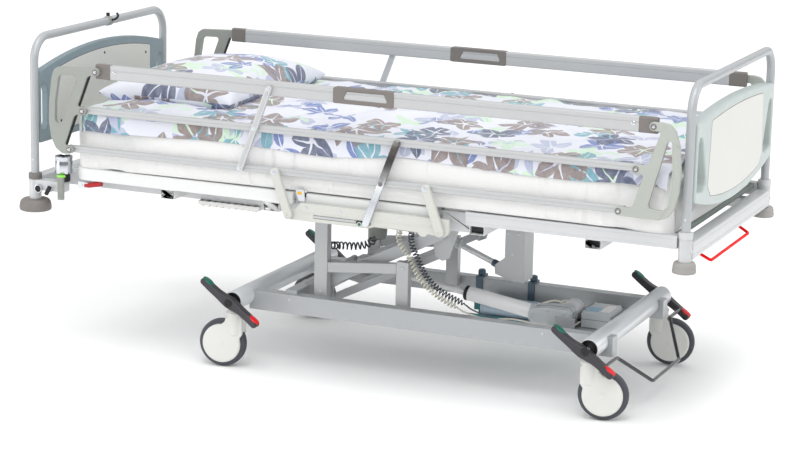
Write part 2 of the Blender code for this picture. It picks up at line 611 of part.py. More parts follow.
def back_actuator_body():
    length, d = back_dir()
    p = Vector((BACK_NOSE[0], 0, BACK_NOSE[1]))
    n = Vector((d.z, 0, -d.x)) * (-1 if d.x > 0 else 1)
    if n.z > 0:
        n = -n
    tube = cyl(p + d * 0.150, p + d * 0.420, 0.0165, 14)
    def at(a, h):
        q = p + d * a - n * h
        return (q.x, q.z)
    gear = prism("y", [at(0.335, -0.020), at(0.440, -0.020), at(0.440, 0.012), at(0.425, 0.022), at(0.350, 0.022), at(0.335, 0.012)],
                 -0.0205, 0.030)
    c = p + d * 0.415
    # the motor hangs below, on the near side of the gear housing
    motor = cyl((c.x, -0.0325, 0.390), (c.x, -0.0325, 0.4700), 0.030, 18)
    bore = cyl(p + d * 0.140, p + d * 0.312, 0.0095, 12)
    return cut(union(tube, gear, motor), bore)


def cpr_lever():
    shaft = cyl((-1.062, -0.330, 0.5380), (-1.062, -0.424, 0.5380), 0.006, 10)
    grip = sweep([(-1.062, -0.418, 0.5380), (-1.040, -0.418, 0.5390), (-0.986, -0.418, 0.5435)], 0.0085, 10)
    return union(shaft, grip)


def foot_release_bar():
    x0, x1, z0, z1, y = 0.8300, 0.8790, 0.5050, 0.4790, 0.205
    path = fillet([(x0, -y, z0), (x1, -y + 0.006, z1), (x1, y - 0.006, z1), (x0, y, z0)], 0.010, 3)
    hooks = [cyl((x0, s * (y - 0.006), z0), (x0, s * (y + 0.020), z0 + 0.001), 0.004, 8) for s in (-1, 1)]
    return union(sweep(path, 0.0042, 8), *hooks)


# ---------------------------------------------------------------- end boards
def board_tube(x, half, bottom, top):
    path = fillet([(x, -half, bottom), (x, -half, top), (x, half, top), (x, half, bottom)], 0.072, 7)
    return sweep(path, POST_R, 12)


def parabola(half, z_mid, z_end, n):
    return [(half * (1 - 2 * k / n), z_mid + (z_end - z_mid) * (1 - 2 * k / n) ** 2) for k in range(n + 1)]


def headboard_panel():
    half = HEAD_Y - POST_R - 0.0012
    top = parabola(half, 0.922, 0.872, 12)
    bottom = [(-half, 0.648), (half, 0.648)]
    hole = [(0.384, 0.690), (0.384, 0.820), (0.372, 0.833), (0.356, 0.826), (0.349, 0.800), (0.349, 0.705), (0.360, 0.690)]
    return prism("x", top + bottom, HEAD_X - 0.011, HEAD_X + 0.011, [hole, [(-a, b) for a, b in hole]])


def footboard_panel():
    half = FOOT_Y - POST_R - 0.0012
    top = parabola(half, 0.929, 0.906, 12)
    bottom = [(-a, b) for a, b in parabola(half, 0.629, 0.684, 10)]
    hole = [(0.388, 0.712), (0.388, 0.848), (0.376, 0.862), (0.356, 0.862), (0.342, 0.845), (0.300, 0.735), (0.303, 0.716), (0.320, 0.704)]
    return prism("x", top + bottom, FOOT_X - 0.016, FOOT_X + 0.018, [hole, [(-a, b) for a, b in hole]])


# ---------------------------------------------------------------- soft parts
def wedge_box(x0, x1, a0, a1, pz):
    """A mattress section; its ends lean back by a0 and a1 from the joints at height pz."""
    h0, h1 = MAT_Z0 - pz, MAT_Z1 - pz
    outline = [(x0 + h0 * math.tan(a0), MAT_Z0), (x1 - h0 * math.tan(a1), MAT_Z0),
               (x1 - h1 * math.tan(a1), MAT_Z1), (x0 + h1 * math.tan(a0), MAT_Z1)]
    return prism("y", outline, -MAT_Y, MAT_Y)


def pillow():
    n, m = 8, 8
    x0, x1, y0, y1 = -1.085, -0.600, -0.310, 0.380
    zb = MAT_Z1 + 0.0006
    bm = bmesh.new()
    top, bot = [], []
    for i in range(n + 1):
        rt, rb = [], []
        for j in range(m + 1):
            u, v = -1 + 2 * i / n, -1 + 2 * j / m
            k = (max(0.0, 1 - u ** 4) * max(0.0, 1 - v ** 4)) ** 0.5
            x = x0 + (x1 - x0) * (u * (1 - 0.05 * v * v) + 1) / 2
            y = y0 + (y1 - y0) * (v * (1 - 0.05 * u * u) + 1) / 2
            edge = i in (0, n) or j in (0, m)
            rt.append(bm.verts.new((x, y, zb + 0.030 + 0.085 * k)))
            rb.append(rt[-1] if edge else bm.verts.new((x, y, zb + 0.030 * (1 - k))))
        top.append(rt)
        bot.append(rb)
    for i in range(n):
        for j in range(m):
            bm.faces.new((top[i][j], top[i + 1][j], top[i + 1][j + 1], top[i][j + 1]))
            q = [bot[i][j], bot[i][j + 1], bot[i + 1][j + 1], bot[i + 1][j]]
            bm.faces.new(q)
    return to_mesh(bm, "pillow")


# ---------------------------------------------------------------- side rails (near side; the far side mirrors it)
def level_x(x0, k):
    """x of a leaning piece's pivot at level k, from its x at the bottom bar."""
    return x0 + LEAN_X * k


def rail_bar(x0, x1, z, h):
    c = min(h * 0.45, 0.006)
    y0, y1 = -L1[1], -L1[0]
    outline = [(y0 + c, z - h), (y1 - c, z - h), (y1, z - h + c), (y1, z + h - c), (y1 - c, z + h), (y0 + c, z + h),
               (y0, z + h - c), (y0, z - h + c)]
    return prism("x", outline, x0, x1)


def rail_bracket():
    outline = arc(-0.334, 0.532, 0.016, 90, 270, 4) + [(-0.080, 0.516), (-0.060, 0.523)] + \
        arc(0.092, 0.5275, 0.0170, 205, 335, 4) + [(0.150, 0.5165)] + arc(0.1560, 0.5335, 0.017, -90, 0, 3) + [(0.173, 0.5690), (-0.300, 0.5690), (-0.318, 0.5480)]
    slot = [(-0.256, 0.5270), (-0.075, 0.5270), (-0.072, 0.5320), (-0.075, 0.5370), (-0.256, 0.5370), (-0.259, 0.5320)]
    return prism("y", outline, -BR[1], -BR[0], [slot])


def ear(cx, cz, a0, a1, r=0.0126):
    return arc(cx, cz, r, a0, a1, 4)


def rail_end_head():
    p = [(level_x(END_HEAD_X, k), RAIL_Z[1 + k]) for k in range(3)]
    outline = [(-1.112, 0.9085)] + ear(*p[2], 90, -90) + [(p[2][0] - 0.0260, p[2][1] - 0.0126), (p[1][0] - 0.0168, p[1][1] + 0.0126)] \
        + ear(*p[1], 90, -90) + [(p[1][0] - 0.0265, p[1][1] - 0.0126), (p[0][0] - 0.0160, p[0][1] + 0.0126)] + ear(*p[0], 90, -90) \
        + [(-1.100, 0.6405), (-1.1235, 0.6565), (-1.140, 0.690), (-1.147, 0.740), (-1.1455, 0.800), (-1.137, 0.872), (-1.128, 0.898)]
    hole = [(-1.103, 0.8840), (-1.055, 0.8855), (-1.050, 0.8780), (-1.0990, 0.7420), (-1.106, 0.7330), (-1.120, 0.7330),
            (-1.1250, 0.7450), (-1.1240, 0.800), (-1.112, 0.8760)]
    return prism("y", outline, -L2[1] - 0.002, -L2[0], [hole])


def rail_end_foot():
    p = [(level_x(END_FOOT_X, k), RAIL_Z[1 + k]) for k in range(3)]
    outline = [(0.800, 0.9136)] + ear(*p[2], 90, 270) + [(p[2][0] + 0.0220, p[2][1] - 0.0126), (p[1][0] + 0.0340, p[1][1] + 0.0126)] \
        + ear(*p[1], 90, 270) + [(p[1][0] + 0.0240, p[1][1] - 0.0126), (p[0][0] + 0.0390, p[0][1] + 0.0126)] + ear(*p[0], 90, 270) \
        + [(0.800, 0.6400), (0.826, 0.6500), (0.843, 0.6750), (0.854, 0.7200), (0.857, 0.7870), (0.852, 0.8500), (0.838, 0.8930), (0.820, 0.9100)]
    hole = [(0.772, 0.6700), (0.810, 0.6680), (0.825, 0.6820), (0.831, 0.720), (0.834, 0.787), (0.829, 0.862), (0.822, 0.866),
            (0.815, 0.858), (0.768, 0.6810)]
    return prism("y", outline, -L2[1] - 0.002, -L2[0], [hole])


def rail_parts():
    za, zb, zm, zt = RAIL_Z
    yield "bracket", rail_bracket(), "cream", None
    yield "arm_1", prism("y", capsule((ARM1_X, za), (ARM1_X - LEAN_X, zb), 0.0135), -L2[1] - 0.003, -L2[0]), "cream", (ARM1_X, za)
    yield "arm_2", prism("y", capsule((ARM2_X, za), (ARM2_X - LEAN_X, zb), 0.0135), -L2[1] - 0.003, -L2[0]), "cream", (ARM2_X, za)
    yield "bottom_bar", rail_bar(END_HEAD_X - 0.011, END_FOOT_X + 0.011, zb, 0.0105), "silver_paint", (ARM1_X - LEAN_X, zb)
    yield "mid_bar", rail_bar(level_x(END_HEAD_X, 1) - 0.011, level_x(END_FOOT_X, 1) + 0.011, zm, 0.0105), "silver_paint", (level_x(END_HEAD_X, 1), zm)
    yield "top_bar", rail_bar(level_x(END_HEAD_X, 2) - 0.006, level_x(END_FOOT_X, 2) + 0.006, zt, 0.0220), "silver_paint", (level_x(END_HEAD_X, 2), zt)
    yield "strut_a", prism("y", capsule((STRUT_A_X, zb), (level_x(STRUT_A_X, 2), zt), 0.0095, 4), -L2[1], -L2[0]), "silver_paint", (STRUT_A_X, zb)
    yield "strut_b", prism("y", capsule((STRUT_B_X, za), (level_x(STRUT_B_X, 2), zm), 0.0105, 4), -L2[1], -L2[0]), "chrome", (STRUT_B_X + LEAN_X, zb)
    yield "end_head", rail_end_head(), "grey_plastic", (END_HEAD_X, zb)
    yield "end_foot", rail_end_foot(), "grey_plastic", (END_FOOT_X, zb)


# ---------------------------------------------------------------- build
def build():
    clear_scene()
    link(base_frame(), "base_frame", "base_paint")
    link(cross_tube(-1), "cross_tube_head", "base_paint", True)
    link(cross_tube(1), "cross_tube_foot", "base_paint", True)
    link(control_box(), "control_box", "motor_grey")
    link(cylinder_cradle(), "cylinder_cradle", "teal")
    link(oxygen_cylinder(), "oxygen_cylinder", "gas_blue", True)
    for name, sx, sy in (("head_near", -1, -1), ("head_far", -1, 1), ("foot_near", 1, -1), ("foot_far", 1, 1)):
        fork, wheel = caster_meshes(sx, sy)
        cx, cy = wheel_centre(sx, sy)
        about(link(fork, "caster_fork_" + name, "cream", True), sx * STEM_X, sy * STEM_Y, COLUMN_TOP)
        about(link(wheel, "caster_wheel_" + name, "tyre", True), cx, cy, WHEEL_R)
    about(link(brake_pedals(-1), "brake_pedals_head", "pedal", True), -TUBE_X, 0, TUBE_Z)
    about(link(brake_pedals(1), "brake_pedals_foot", "pedal", True), TUBE_X, 0, TUBE_Z)
    about(link(lift_arm_upper(), "lift_arm_upper", "base_paint", True), ARM_BASE[0], 0, ARM_BASE[1])
    about(link(lift_arm_lower(), "lift_arm_lower", "base_paint", True), ARM_BASE[0], 0, ARM_BASE[1] - ARM_DROP)
    about(link(lift_actuator_body(), "lift_actuator_body", "white_paint", True), LIFT_MOTOR[0], LIFT_Y, LIFT_MOTOR[1])
    about(link(lift_actuator_rod(), "lift_actuator_rod", "chrome", True), LIFT_BAR[0], LIFT_Y, LIFT_BAR[1])
    about(link(main_frame(), "main_frame", "silver_paint"), ARM_TOP[0], 0, ARM_TOP[1])
    link(head_beam(), "head_beam", "silver_paint", True)
    link(foot_beam(), "foot_beam", "silver_paint", True)
    link(seat_section(), "seat_section", "white_paint")
    about(link(back_section(), "back_section", "white_paint"), BACK_PIVOT[0], 0, BACK_PIVOT[1])
    about(link(leg_plate(THIGH_PIVOT[0] + 0.010, KNEE_PIVOT[0] - 0.010), "thigh_section", "white_paint"), THIGH_PIVOT[0], 0, THIGH_PIVOT[1])
    about(link(leg_plate(KNEE_PIVOT[0] + 0.010, CALF_END), "calf_section", "white_paint"), KNEE_PIVOT[0], 0, KNEE_PIVOT[1])
    about(link(back_actuator_rod(), "back_actuator_rod", "aluminium", True), BACK_NOSE[0], 0, BACK_NOSE[1])
    about(link(back_actuator_body(), "back_actuator_body", "motor_grey", True), BACK_LEVER[0], 0, BACK_LEVER[1])
    about(link(cpr_lever(), "cpr_lever", "red", True), -1.062, -0.375, 0.5380)
    about(link(foot_release_bar(), "foot_release_bar", "red", True), 0.8300, 0, 0.5050)
    link(board_tube(HEAD_X, HEAD_Y, HEAD_SOCKET[0] + 0.0205, 0.977), "headboard_tube", "silver_paint", True)
    link(headboard_panel(), "headboard_panel", "blue_grey")
    link(board_tube(FOOT_X, FOOT_Y, FOOT_SOCKET[0] + 0.0205, 1.010), "footboard_tube", "silver_paint", True)
    link(footboard_panel(), "footboard_panel", "pale_grey")
    bx, tx, kx = BACK_PIVOT[0], THIGH_PIVOT[0], KNEE_PIVOT[0]
    link(wedge_box(BACK_END + 0.004, bx - 0.0006, 0, BACK_HALF_ANGLE, BACK_PIVOT[1]), "mattress_back", "fabric")
    link(wedge_box(bx + 0.0006, tx - 0.0006, BACK_HALF_ANGLE, THIGH_HALF_ANGLE, BACK_PIVOT[1]), "mattress_seat", "fabric")
    link(wedge_box(tx + 0.0006, kx - 0.0006, THIGH_HALF_ANGLE, 0, BACK_PIVOT[1]), "mattress_thigh", "fabric")
    link(wedge_box(kx + 0.0006, CALF_END, 0, FOOT_END_LEAN, BACK_PIVOT[1]), "mattress_calf", "fabric")
    link(pillow(), "pillow", "fabric", True)
    for part, me, look, pivot in rail_parts():
        for side, s in (("near", -1), ("far", 1)):
            ob = link(me.copy() if s < 0 else mirror_y(me), "rail_%s_%s" % (part, side), look)
            if pivot:
                about(ob, pivot[0], s * L1[0], pivot[1])
    for ob in bpy.data.objects:
        ob.location.x += ORIGIN_SHIFT


build()
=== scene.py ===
import bpy, bmesh, json, math
import numpy as np
from mathutils import Matrix, Vector, noise

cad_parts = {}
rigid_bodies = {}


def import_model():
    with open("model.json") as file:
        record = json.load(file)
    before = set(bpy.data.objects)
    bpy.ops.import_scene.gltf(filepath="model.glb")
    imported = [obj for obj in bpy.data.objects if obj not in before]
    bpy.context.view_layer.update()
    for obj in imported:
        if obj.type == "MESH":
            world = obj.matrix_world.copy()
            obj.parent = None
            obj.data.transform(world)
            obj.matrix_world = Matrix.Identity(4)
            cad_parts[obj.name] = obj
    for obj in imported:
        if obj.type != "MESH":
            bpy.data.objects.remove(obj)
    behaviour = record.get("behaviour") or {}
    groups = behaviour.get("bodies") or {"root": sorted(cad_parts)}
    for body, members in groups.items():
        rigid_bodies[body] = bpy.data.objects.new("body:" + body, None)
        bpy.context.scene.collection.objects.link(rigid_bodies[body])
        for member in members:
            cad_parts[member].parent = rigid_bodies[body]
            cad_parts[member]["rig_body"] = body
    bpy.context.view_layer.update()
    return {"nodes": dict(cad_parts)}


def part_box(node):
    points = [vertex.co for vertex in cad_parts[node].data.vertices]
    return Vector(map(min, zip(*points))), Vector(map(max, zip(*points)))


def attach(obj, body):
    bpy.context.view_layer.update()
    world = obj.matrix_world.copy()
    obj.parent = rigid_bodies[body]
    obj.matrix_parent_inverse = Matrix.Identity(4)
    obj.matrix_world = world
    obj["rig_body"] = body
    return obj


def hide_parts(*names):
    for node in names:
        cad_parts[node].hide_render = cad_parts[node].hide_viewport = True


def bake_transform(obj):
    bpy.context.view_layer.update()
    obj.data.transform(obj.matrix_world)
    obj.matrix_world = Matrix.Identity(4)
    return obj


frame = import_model()
NODES = frame["nodes"]
# the row frame's origin is under the middle of the bed; shapes below are laid out from the middle of the base
DX = (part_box("caster_wheel_foot_near")[0].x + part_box("caster_wheel_foot_near")[1].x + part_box("caster_wheel_head_near")[0].x
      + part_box("caster_wheel_head_near")[1].x) / 4
PI = math.pi


def srgb(r, g, b):
    return tuple(c / 12.92 if c <= 0.04045 else ((c + 0.055) / 1.055) ** 2.4 for c in (r, g, b))


# ================================================================ materials
class Tree:
    """Small helper for building node materials."""

    def __init__(self, name):
        self.mat = bpy.data.materials.new(name)
        self.mat.use_nodes = True
        self.t = self.mat.node_tree
        self.b = self.t.nodes["Principled BSDF"]

    def n(self, kind, **props):
        node = self.t.nodes.new(kind)
        for k, v in props.items():
            setattr(node, k, v)
        return node

    def put(self, sock, v):
        if isinstance(v, bpy.types.NodeSocket):
            self.t.links.new(v, sock)
        elif v is not None:
            sock.default_value = v

    def math(self, op, a, b=None, c=None, clamp=False):
        node = self.n("ShaderNodeMath", operation=op, use_clamp=clamp)
        for i, v in enumerate((a, b, c)):
            self.put(node.inputs[i], v) if v is not None else None
        return node.outputs[0]

    def vmath(self, op, a, b=None):
        node = self.n("ShaderNodeVectorMath", operation=op)
        self.put(node.inputs[0], a)
        if b is not None:
            self.put(node.inputs[3] if op == "SCALE" else node.inputs[1], b)
        return node.outputs["Value"] if op in ("LENGTH", "DOT_PRODUCT", "DISTANCE") else node.outputs["Vector"]

    def noise(self, vec, scale, detail=2.0, rough=0.5, dims="3D"):
        node = self.n("ShaderNodeTexNoise", noise_dimensions=dims)
        self.put(node.inputs["Vector"], vec)
        node.inputs["Scale"].default_value = scale
        node.inputs["Detail"].default_value = detail
        node.inputs["Roughness"].default_value = rough
        return node.outputs[0]

    def map(self, v, a0, a1, b0, b1, smooth=False):
        node = self.n("ShaderNodeMapRange", interpolation_type="SMOOTHSTEP" if smooth else "LINEAR")
        self.put(node.inputs[0], v)
        for i, k in enumerate((a0, a1, b0, b1)):
            self.put(node.inputs[i + 1], k)
        return node.outputs[0]

    def mix(self, f, a, b, blend="MIX"):
        node = self.n("ShaderNodeMix", data_type="RGBA", blend_type=blend)
        self.put(node.inputs[0], f)
        for i, v in ((6, a), (7, b)):
            self.put(node.inputs[i], (*v, 1.0) if isinstance(v, tuple) and len(v) == 3 else v)
        return node.outputs[2]

    def bump(self, height, strength, dist, normal=None):
        node = self.n("ShaderNodeBump")
        node.inputs["Strength"].default_value = strength
        node.inputs["Distance"].default_value = dist
        self.put(node.inputs["Height"], height)
        if normal is not None:
            self.put(node.inputs["Normal"], normal)
        return node.outputs[0]

    def ramp(self, f, stops, mode="CONSTANT"):
        node = self.n("ShaderNodeValToRGB")
        r = node.color_ramp
        r.interpolation = mode
        while len(r.elements) < len(stops):
            r.elements.new(0.5)
        for e, (p, c) in zip(r.elements, stops):
            e.position = p
            e.color = (*c, 1.0)
        self.put(node.inputs[0], f)
        return node.outputs[0]

    def obj(self):
        return self.n("ShaderNodeTexCoord").outputs["Object"]

    def uv(self):
        return self.n("ShaderNodeTexCoord").outputs["UV"]


def finish_mat(name, rgb, rough=0.4, metal=0.0, coat=0.0, mott=0.04, grain=650.0, grain_h=0.00006, edge_wear_highlight=None, edge_wear_highlight_amt=0.5,
               streak=None, dust=0.0, spec=0.5, rvar=1.0, low=None):
    """Painted, moulded or plated surface: soft colour mottling, surface grain, roughness patches, rubbed edges that
    double as a painted edge highlight, dust, and with low a painted shade below a given height.
    """
    t = Tree(name)
    o = t.obj()
    big = t.noise(o, 5.0, 3.0)
    fine = t.noise(o, 90.0, 2.0)
    col = t.mix(t.map(big, 0.3, 0.7, 0.0, 1.0), tuple(c * (1 - mott) for c in rgb), tuple(min(1, c * (1 + mott)) for c in rgb))
    col = t.mix(t.map(fine, 0.35, 0.65, 0.0, 0.35), col, tuple(c * (1 - 1.4 * mott) for c in rgb))
    if streak:
        s = t.n("ShaderNodeMapping")
        s.inputs["Scale"].default_value = streak
        t.put(s.inputs["Vector"], o)
        lines = t.noise(s.outputs[0], 60.0, 3.0)
        col = t.mix(t.map(lines, 0.4, 0.6, 0.0, 0.16), col, tuple(c * 0.72 for c in rgb))
    # rubbed edges: patchy wear that also lays a painted highlight along the edges (a darker edge on a few finishes)
    if edge_wear_highlight is not None:
        bev = t.n("ShaderNodeBevel", samples=4)
        bev.inputs["Radius"].default_value = 0.0022
        geo = t.n("ShaderNodeNewGeometry").outputs["Normal"]
        dot = t.vmath("DOT_PRODUCT", bev.outputs[0], geo)
        edge = t.map(dot, 0.995, 0.93, 0.0, 1.0)
        patch = t.map(t.noise(o, 38.0, 4.0, 0.65), 0.46, 0.62, 0.0, edge_wear_highlight_amt)
        col = t.mix(t.math("MULTIPLY", edge, patch), col, edge_wear_highlight)
    if dust:
        up = t.n("ShaderNodeSeparateXYZ")
        t.put(up.inputs[0], t.n("ShaderNodeNewGeometry").outputs["Normal"])
        k = t.math("MULTIPLY", t.map(up.outputs[2], 0.5, 1.0, 0.0, dust), t.map(t.noise(o, 22.0, 4.0), 0.35, 0.7, 0.2, 1.0))
        col = t.mix(k, col, (0.62, 0.60, 0.56))
    if low:
        # tone set against the reference: the hanging part of this node looks darker there, which is shade, not paint
        hz = t.n("ShaderNodeSeparateXYZ")
        t.put(hz.inputs[0], o)
        col = t.mix(t.map(hz.outputs[2], low[0] - 0.004, low[0] + 0.004, 1.0, 0.0), col, tuple(c * low[1] for c in rgb))
    t.put(t.b.inputs["Base Color"], col)
    t.put(t.b.inputs["Roughness"], t.map(t.noise(o, 17.0, 4.0, 0.6), 0.3, 0.7, max(0.03, rough - 0.07 * rvar), min(1, rough + 0.09 * rvar)))
    t.b.inputs["Metallic"].default_value = metal
    t.b.inputs["Coat Weight"].default_value = coat
    t.b.inputs["Coat Roughness"].default_value = 0.18
    t.b.inputs["Specular IOR Level"].default_value = spec
    if grain_h:
        t.put(t.b.inputs["Normal"], t.bump(t.noise(o, grain, 2.0, 0.6), 0.5, grain_h * 3))
    return t.mat


def strut_mat():
    """Bright plating. The dark upper part is a painted-in stand-in for the reflection seen in the reference, not a real colour."""
    t = Tree("plated_strut")
    o = t.obj()
    sp = t.n("ShaderNodeSeparateXYZ")
    t.put(sp.inputs[0], o)
    z = t.math("ADD", sp.outputs[2], t.map(t.noise(o, 26.0, 2.0), 0.3, 0.7, -0.010, 0.010))
    col = t.ramp(t.map(z, 0.520, 0.790, 0.0, 1.0), [(0.0, srgb(0.84, 0.85, 0.87)), (0.30, srgb(0.72, 0.73, 0.75)), (0.46, srgb(0.86, 0.87, 0.88)), (0.60, srgb(0.52, 0.52, 0.52)),
                                                     (0.74, srgb(0.26, 0.25, 0.25)), (0.88, srgb(0.34, 0.32, 0.31)), (1.0, srgb(0.62, 0.62, 0.62))], "EASE")
    t.put(t.b.inputs["Base Color"], col)
    t.b.inputs["Metallic"].default_value = 0.85
    t.put(t.b.inputs["Roughness"], t.map(t.noise(o, 40.0, 2.0), 0.3, 0.7, 0.16, 0.22))
    return t.mat


def sheet_mat():
    t = Tree("sheet_cotton")
    o = t.obj()
    base = srgb(0.893, 0.892, 0.888)
    soft = t.map(t.noise(o, 3.5, 3.0), 0.3, 0.7, 0.0, 1.0)
    col = t.mix(soft, tuple(c * 0.965 for c in base), base)
    w = [t.n("ShaderNodeTexWave", wave_type="BANDS", bands_direction=d, wave_profile="SIN") for d in ("X", "Z", "Y")]
    for k in w:
        k.inputs["Scale"].default_value = 520.0
        k.inputs["Distortion"].default_value = 0.6
        k.inputs["Detail Scale"].default_value = 3.0
        t.put(k.inputs["Vector"], o)
    weave = t.math("ADD", w[0].outputs["Fac"], t.math("MULTIPLY", w[1].outputs["Fac"], w[2].outputs["Fac"]))
    col = t.mix(t.map(weave, 0.0, 2.0, 0.05, 0.0), col, tuple(c * 0.80 for c in base))
    t.put(t.b.inputs["Base Color"], col)
    t.put(t.b.inputs["Roughness"], t.map(t.noise(o, 30.0), 0.3, 0.7, 0.84, 0.94))
    t.b.inputs["Sheen Weight"].default_value = 0.25
    t.b.inputs["Sheen Roughness"].default_value = 0.5
    t.b.inputs["Specular IOR Level"].default_value = 0.25
    crease = t.n("ShaderNodeMapping")
    crease.inputs["Rotation"].default_value = (0.2, 0.5, 0.9)
    crease.inputs["Scale"].default_value = (1.0, 1.0, 0.35)
    t.put(crease.inputs["Vector"], o)
    n0 = t.bump(t.noise(crease.outputs[0], 13.0, 4.0, 0.55), 0.5, 0.014)
    # sharp slack creases running down the side and across the corners
    fold = t.n("ShaderNodeMapping")
    fold.inputs["Rotation"].default_value = (0.0, 0.55, 0.0)
    fold.inputs["Scale"].default_value = (1.0, 0.5, 0.22)
    t.put(fold.inputs["Vector"], o)
    ridge = t.math("SUBTRACT", 1.0, t.math("MULTIPLY", t.math("ABSOLUTE", t.math("SUBTRACT", t.noise(fold.outputs[0], 9.0, 2.0, 0.5), 0.5)), 7.0), clamp=True)
    n1 = t.bump(t.math("MULTIPLY", t.math("POWER", ridge, 2.0), t.map(t.noise(o, 2.6, 1.0), 0.42, 0.62, 0.0, 1.0)), 0.6, 0.010, n0)
    t.put(t.b.inputs["Normal"], t.bump(weave, 0.10, 0.0002, n1))
    t.b.inputs["Subsurface Weight"].default_value = 0.0
    return t.mat


def print_mat():
    """Cotton printed with loose five-petal flowers and leaves, laid out in metres on the cloth."""
    t = Tree("quilt_print")
    uv = t.uv()
    wob = t.n("ShaderNodeTexNoise", noise_dimensions="2D")
    wob.inputs["Scale"].default_value = 14.0
    wob.inputs["Detail"].default_value = 2.0
    t.put(wob.inputs["Vector"], uv)
    jitter = t.vmath("SCALE", t.vmath("SUBTRACT", wob.outputs["Color"], (0.5, 0.5, 0.5)), 0.020)
    p0 = t.vmath("ADD", uv, jitter)
    ground = srgb(0.850, 0.858, 0.893)
    col = t.mix(t.map(t.noise(uv, 6.0, 2.0, 0.5, "2D"), 0.35, 0.65, 0.0, 1.0), ground, tuple(c * 0.96 for c in ground))

    def layer(col, cells, off, petals, r0, power, keep, palette, vein=0.05, stretch=(1.0, 1.0), cut=0.0, alpha=0.93):
        m = t.n("ShaderNodeMapping")
        m.inputs["Location"].default_value = (off[0], off[1], 0)
        m.inputs["Scale"].default_value = (stretch[0], stretch[1], 1)
        m.inputs["Rotation"].default_value = (0, 0, off[2])
        t.put(m.inputs["Vector"], p0)
        v = t.n("ShaderNodeTexVoronoi", voronoi_dimensions="2D", feature="F1")
        v.inputs["Scale"].default_value = cells
        v.inputs["Randomness"].default_value = 0.72
        t.put(v.inputs["Vector"], m.outputs[0])
        d = t.vmath("SUBTRACT", m.outputs[0], v.outputs["Position"])
        sp = t.n("ShaderNodeSeparateXYZ")
        t.put(sp.inputs[0], d)
        rnd = t.n("ShaderNodeSeparateColor")
        t.put(rnd.inputs[0], v.outputs["Color"])
        r = t.math("MULTIPLY", t.vmath("LENGTH", d), cells)
        ang = t.math("ADD", t.math("ARCTAN2", sp.outputs[1], sp.outputs[0]), t.math("MULTIPLY", rnd.outputs[2], 6.283))
        # angle from the axis of the nearest petal, and the petal's own number for its length
        turns = t.math("DIVIDE", ang, 2 * PI / petals)
        local = t.math("MULTIPLY", t.math("SUBTRACT", t.math("FRACT", turns), 0.5), 2 * PI / petals)
        own = t.math("FRACT", t.math("MULTIPLY", t.math("SINE", t.math("ADD", t.math("MULTIPLY", t.math("FLOOR", turns), 12.9), t.math("MULTIPLY", rnd.outputs[1], 40.0))), 43.7))
        along = t.math("MULTIPLY", r, t.math("COSINE", local))
        across = t.math("ABSOLUTE", t.math("MULTIPLY", r, t.math("SINE", local)))
        reach = t.math("MULTIPLY", t.map(own, 0.0, 1.0, 0.72, 1.12), t.map(rnd.outputs[1], 0.0, 1.0, r0 * 0.80, r0 * 1.08))
        f1 = t.math("DIVIDE", along, reach, clamp=True)
        wide = t.math("MULTIPLY", t.math("MULTIPLY", t.math("POWER", t.math("ADD", f1, 0.004), 0.62), t.math("SUBTRACT", 1.0, t.math("POWER", f1, 2.6))), t.math("MULTIPLY", reach, power))
        inside = t.map(t.math("SUBTRACT", wide, across), 0.0, 0.010, 0.0, 1.0)
        if vein:
            # pale centre line that thins out towards the tip, and a pale eye
            line = t.map(t.math("SUBTRACT", across, t.math("MULTIPLY", t.math("SUBTRACT", 0.85, f1), vein)), 0.0, 0.006, 0.0, 1.0)
            eye = t.map(r, 0.022, 0.034, 0.0, 1.0)
            inside = t.math("MULTIPLY", t.math("MULTIPLY", inside, line), eye)
        if cut:
            inside = t.math("MULTIPLY", inside, t.math("GREATER_THAN", own, cut))
        on = t.math("LESS_THAN", rnd.outputs[0], keep)
        f = t.math("MULTIPLY", t.math("MULTIPLY", inside, on), alpha)
        pick = t.math("FRACT", t.math("MULTIPLY", t.math("ADD", rnd.outputs[1], rnd.outputs[2]), 3.7))
        ink = t.ramp(pick, palette)
        wash = t.noise(uv, 55.0, 3.0, 0.6, "2D")
        ink = t.mix(t.map(wash, 0.35, 0.7, 0.0, 0.16), ink, ground)
        return t.mix(f, col, ink)

    taupe, slate = srgb(0.535, 0.48, 0.46), srgb(0.33, 0.36, 0.455)
    teal, green = srgb(0.42, 0.63, 0.68), srgb(0.765, 0.86, 0.76)
    peri, mist = srgb(0.40, 0.47, 0.68), srgb(0.675, 0.70, 0.79)
    col = layer(col, 7.8, (0.3, 0.1, 0.2), 5, 0.58, 0.52, 0.50, [(0.0, green), (0.50, mist)], 0.0, (1.0, 1.0), 0.25)
    col = layer(col, 7.2, (1.7, 0.4, 0.7), 6, 0.58, 0.42, 0.46, [(0.0, mist), (0.40, peri), (0.75, green)], 0.022, (1.0, 1.25), 0.32)
    col = layer(col, 7.0, (2.9, 3.3, 1.3), 5, 0.60, 0.50, 0.50, [(0.0, teal), (0.45, peri), (0.70, mist)], 0.022, (1.15, 0.9), 0.28)
    col = layer(col, 6.3, (5.1, 1.9, 0.1), 5, 0.60, 0.52, 0.62, [(0.0, taupe), (0.58, slate)], 0.024)
    t.put(t.b.inputs["Base Color"], col)
    w = [t.n("ShaderNodeTexWave", wave_type="BANDS", bands_direction=d, wave_profile="SIN") for d in ("X", "Y")]
    for k in w:
        k.inputs["Scale"].default_value = 480.0
        k.inputs["Distortion"].default_value = 0.5
        t.put(k.inputs["Vector"], uv)
    weave = t.math("ADD", w[0].outputs["Fac"], w[1].outputs["Fac"])
    t.put(t.b.inputs["Roughness"], t.map(t.noise(uv, 30.0, 2.0, 0.5, "2D"), 0.3, 0.7, 0.80, 0.92))
    t.b.inputs["Sheen Weight"].default_value = 0.3
    t.b.inputs["Sheen Roughness"].default_value = 0.45
    t.b.inputs["Specular IOR Level"].default_value = 0.25
    n1 = t.bump(t.noise(uv, 24.0, 4.0, 0.55, "2D"), 0.28, 0.004)
    t.put(t.b.inputs["Normal"], t.bump(weave, 0.15, 0.0003, n1))
    return t.mat


M = {}


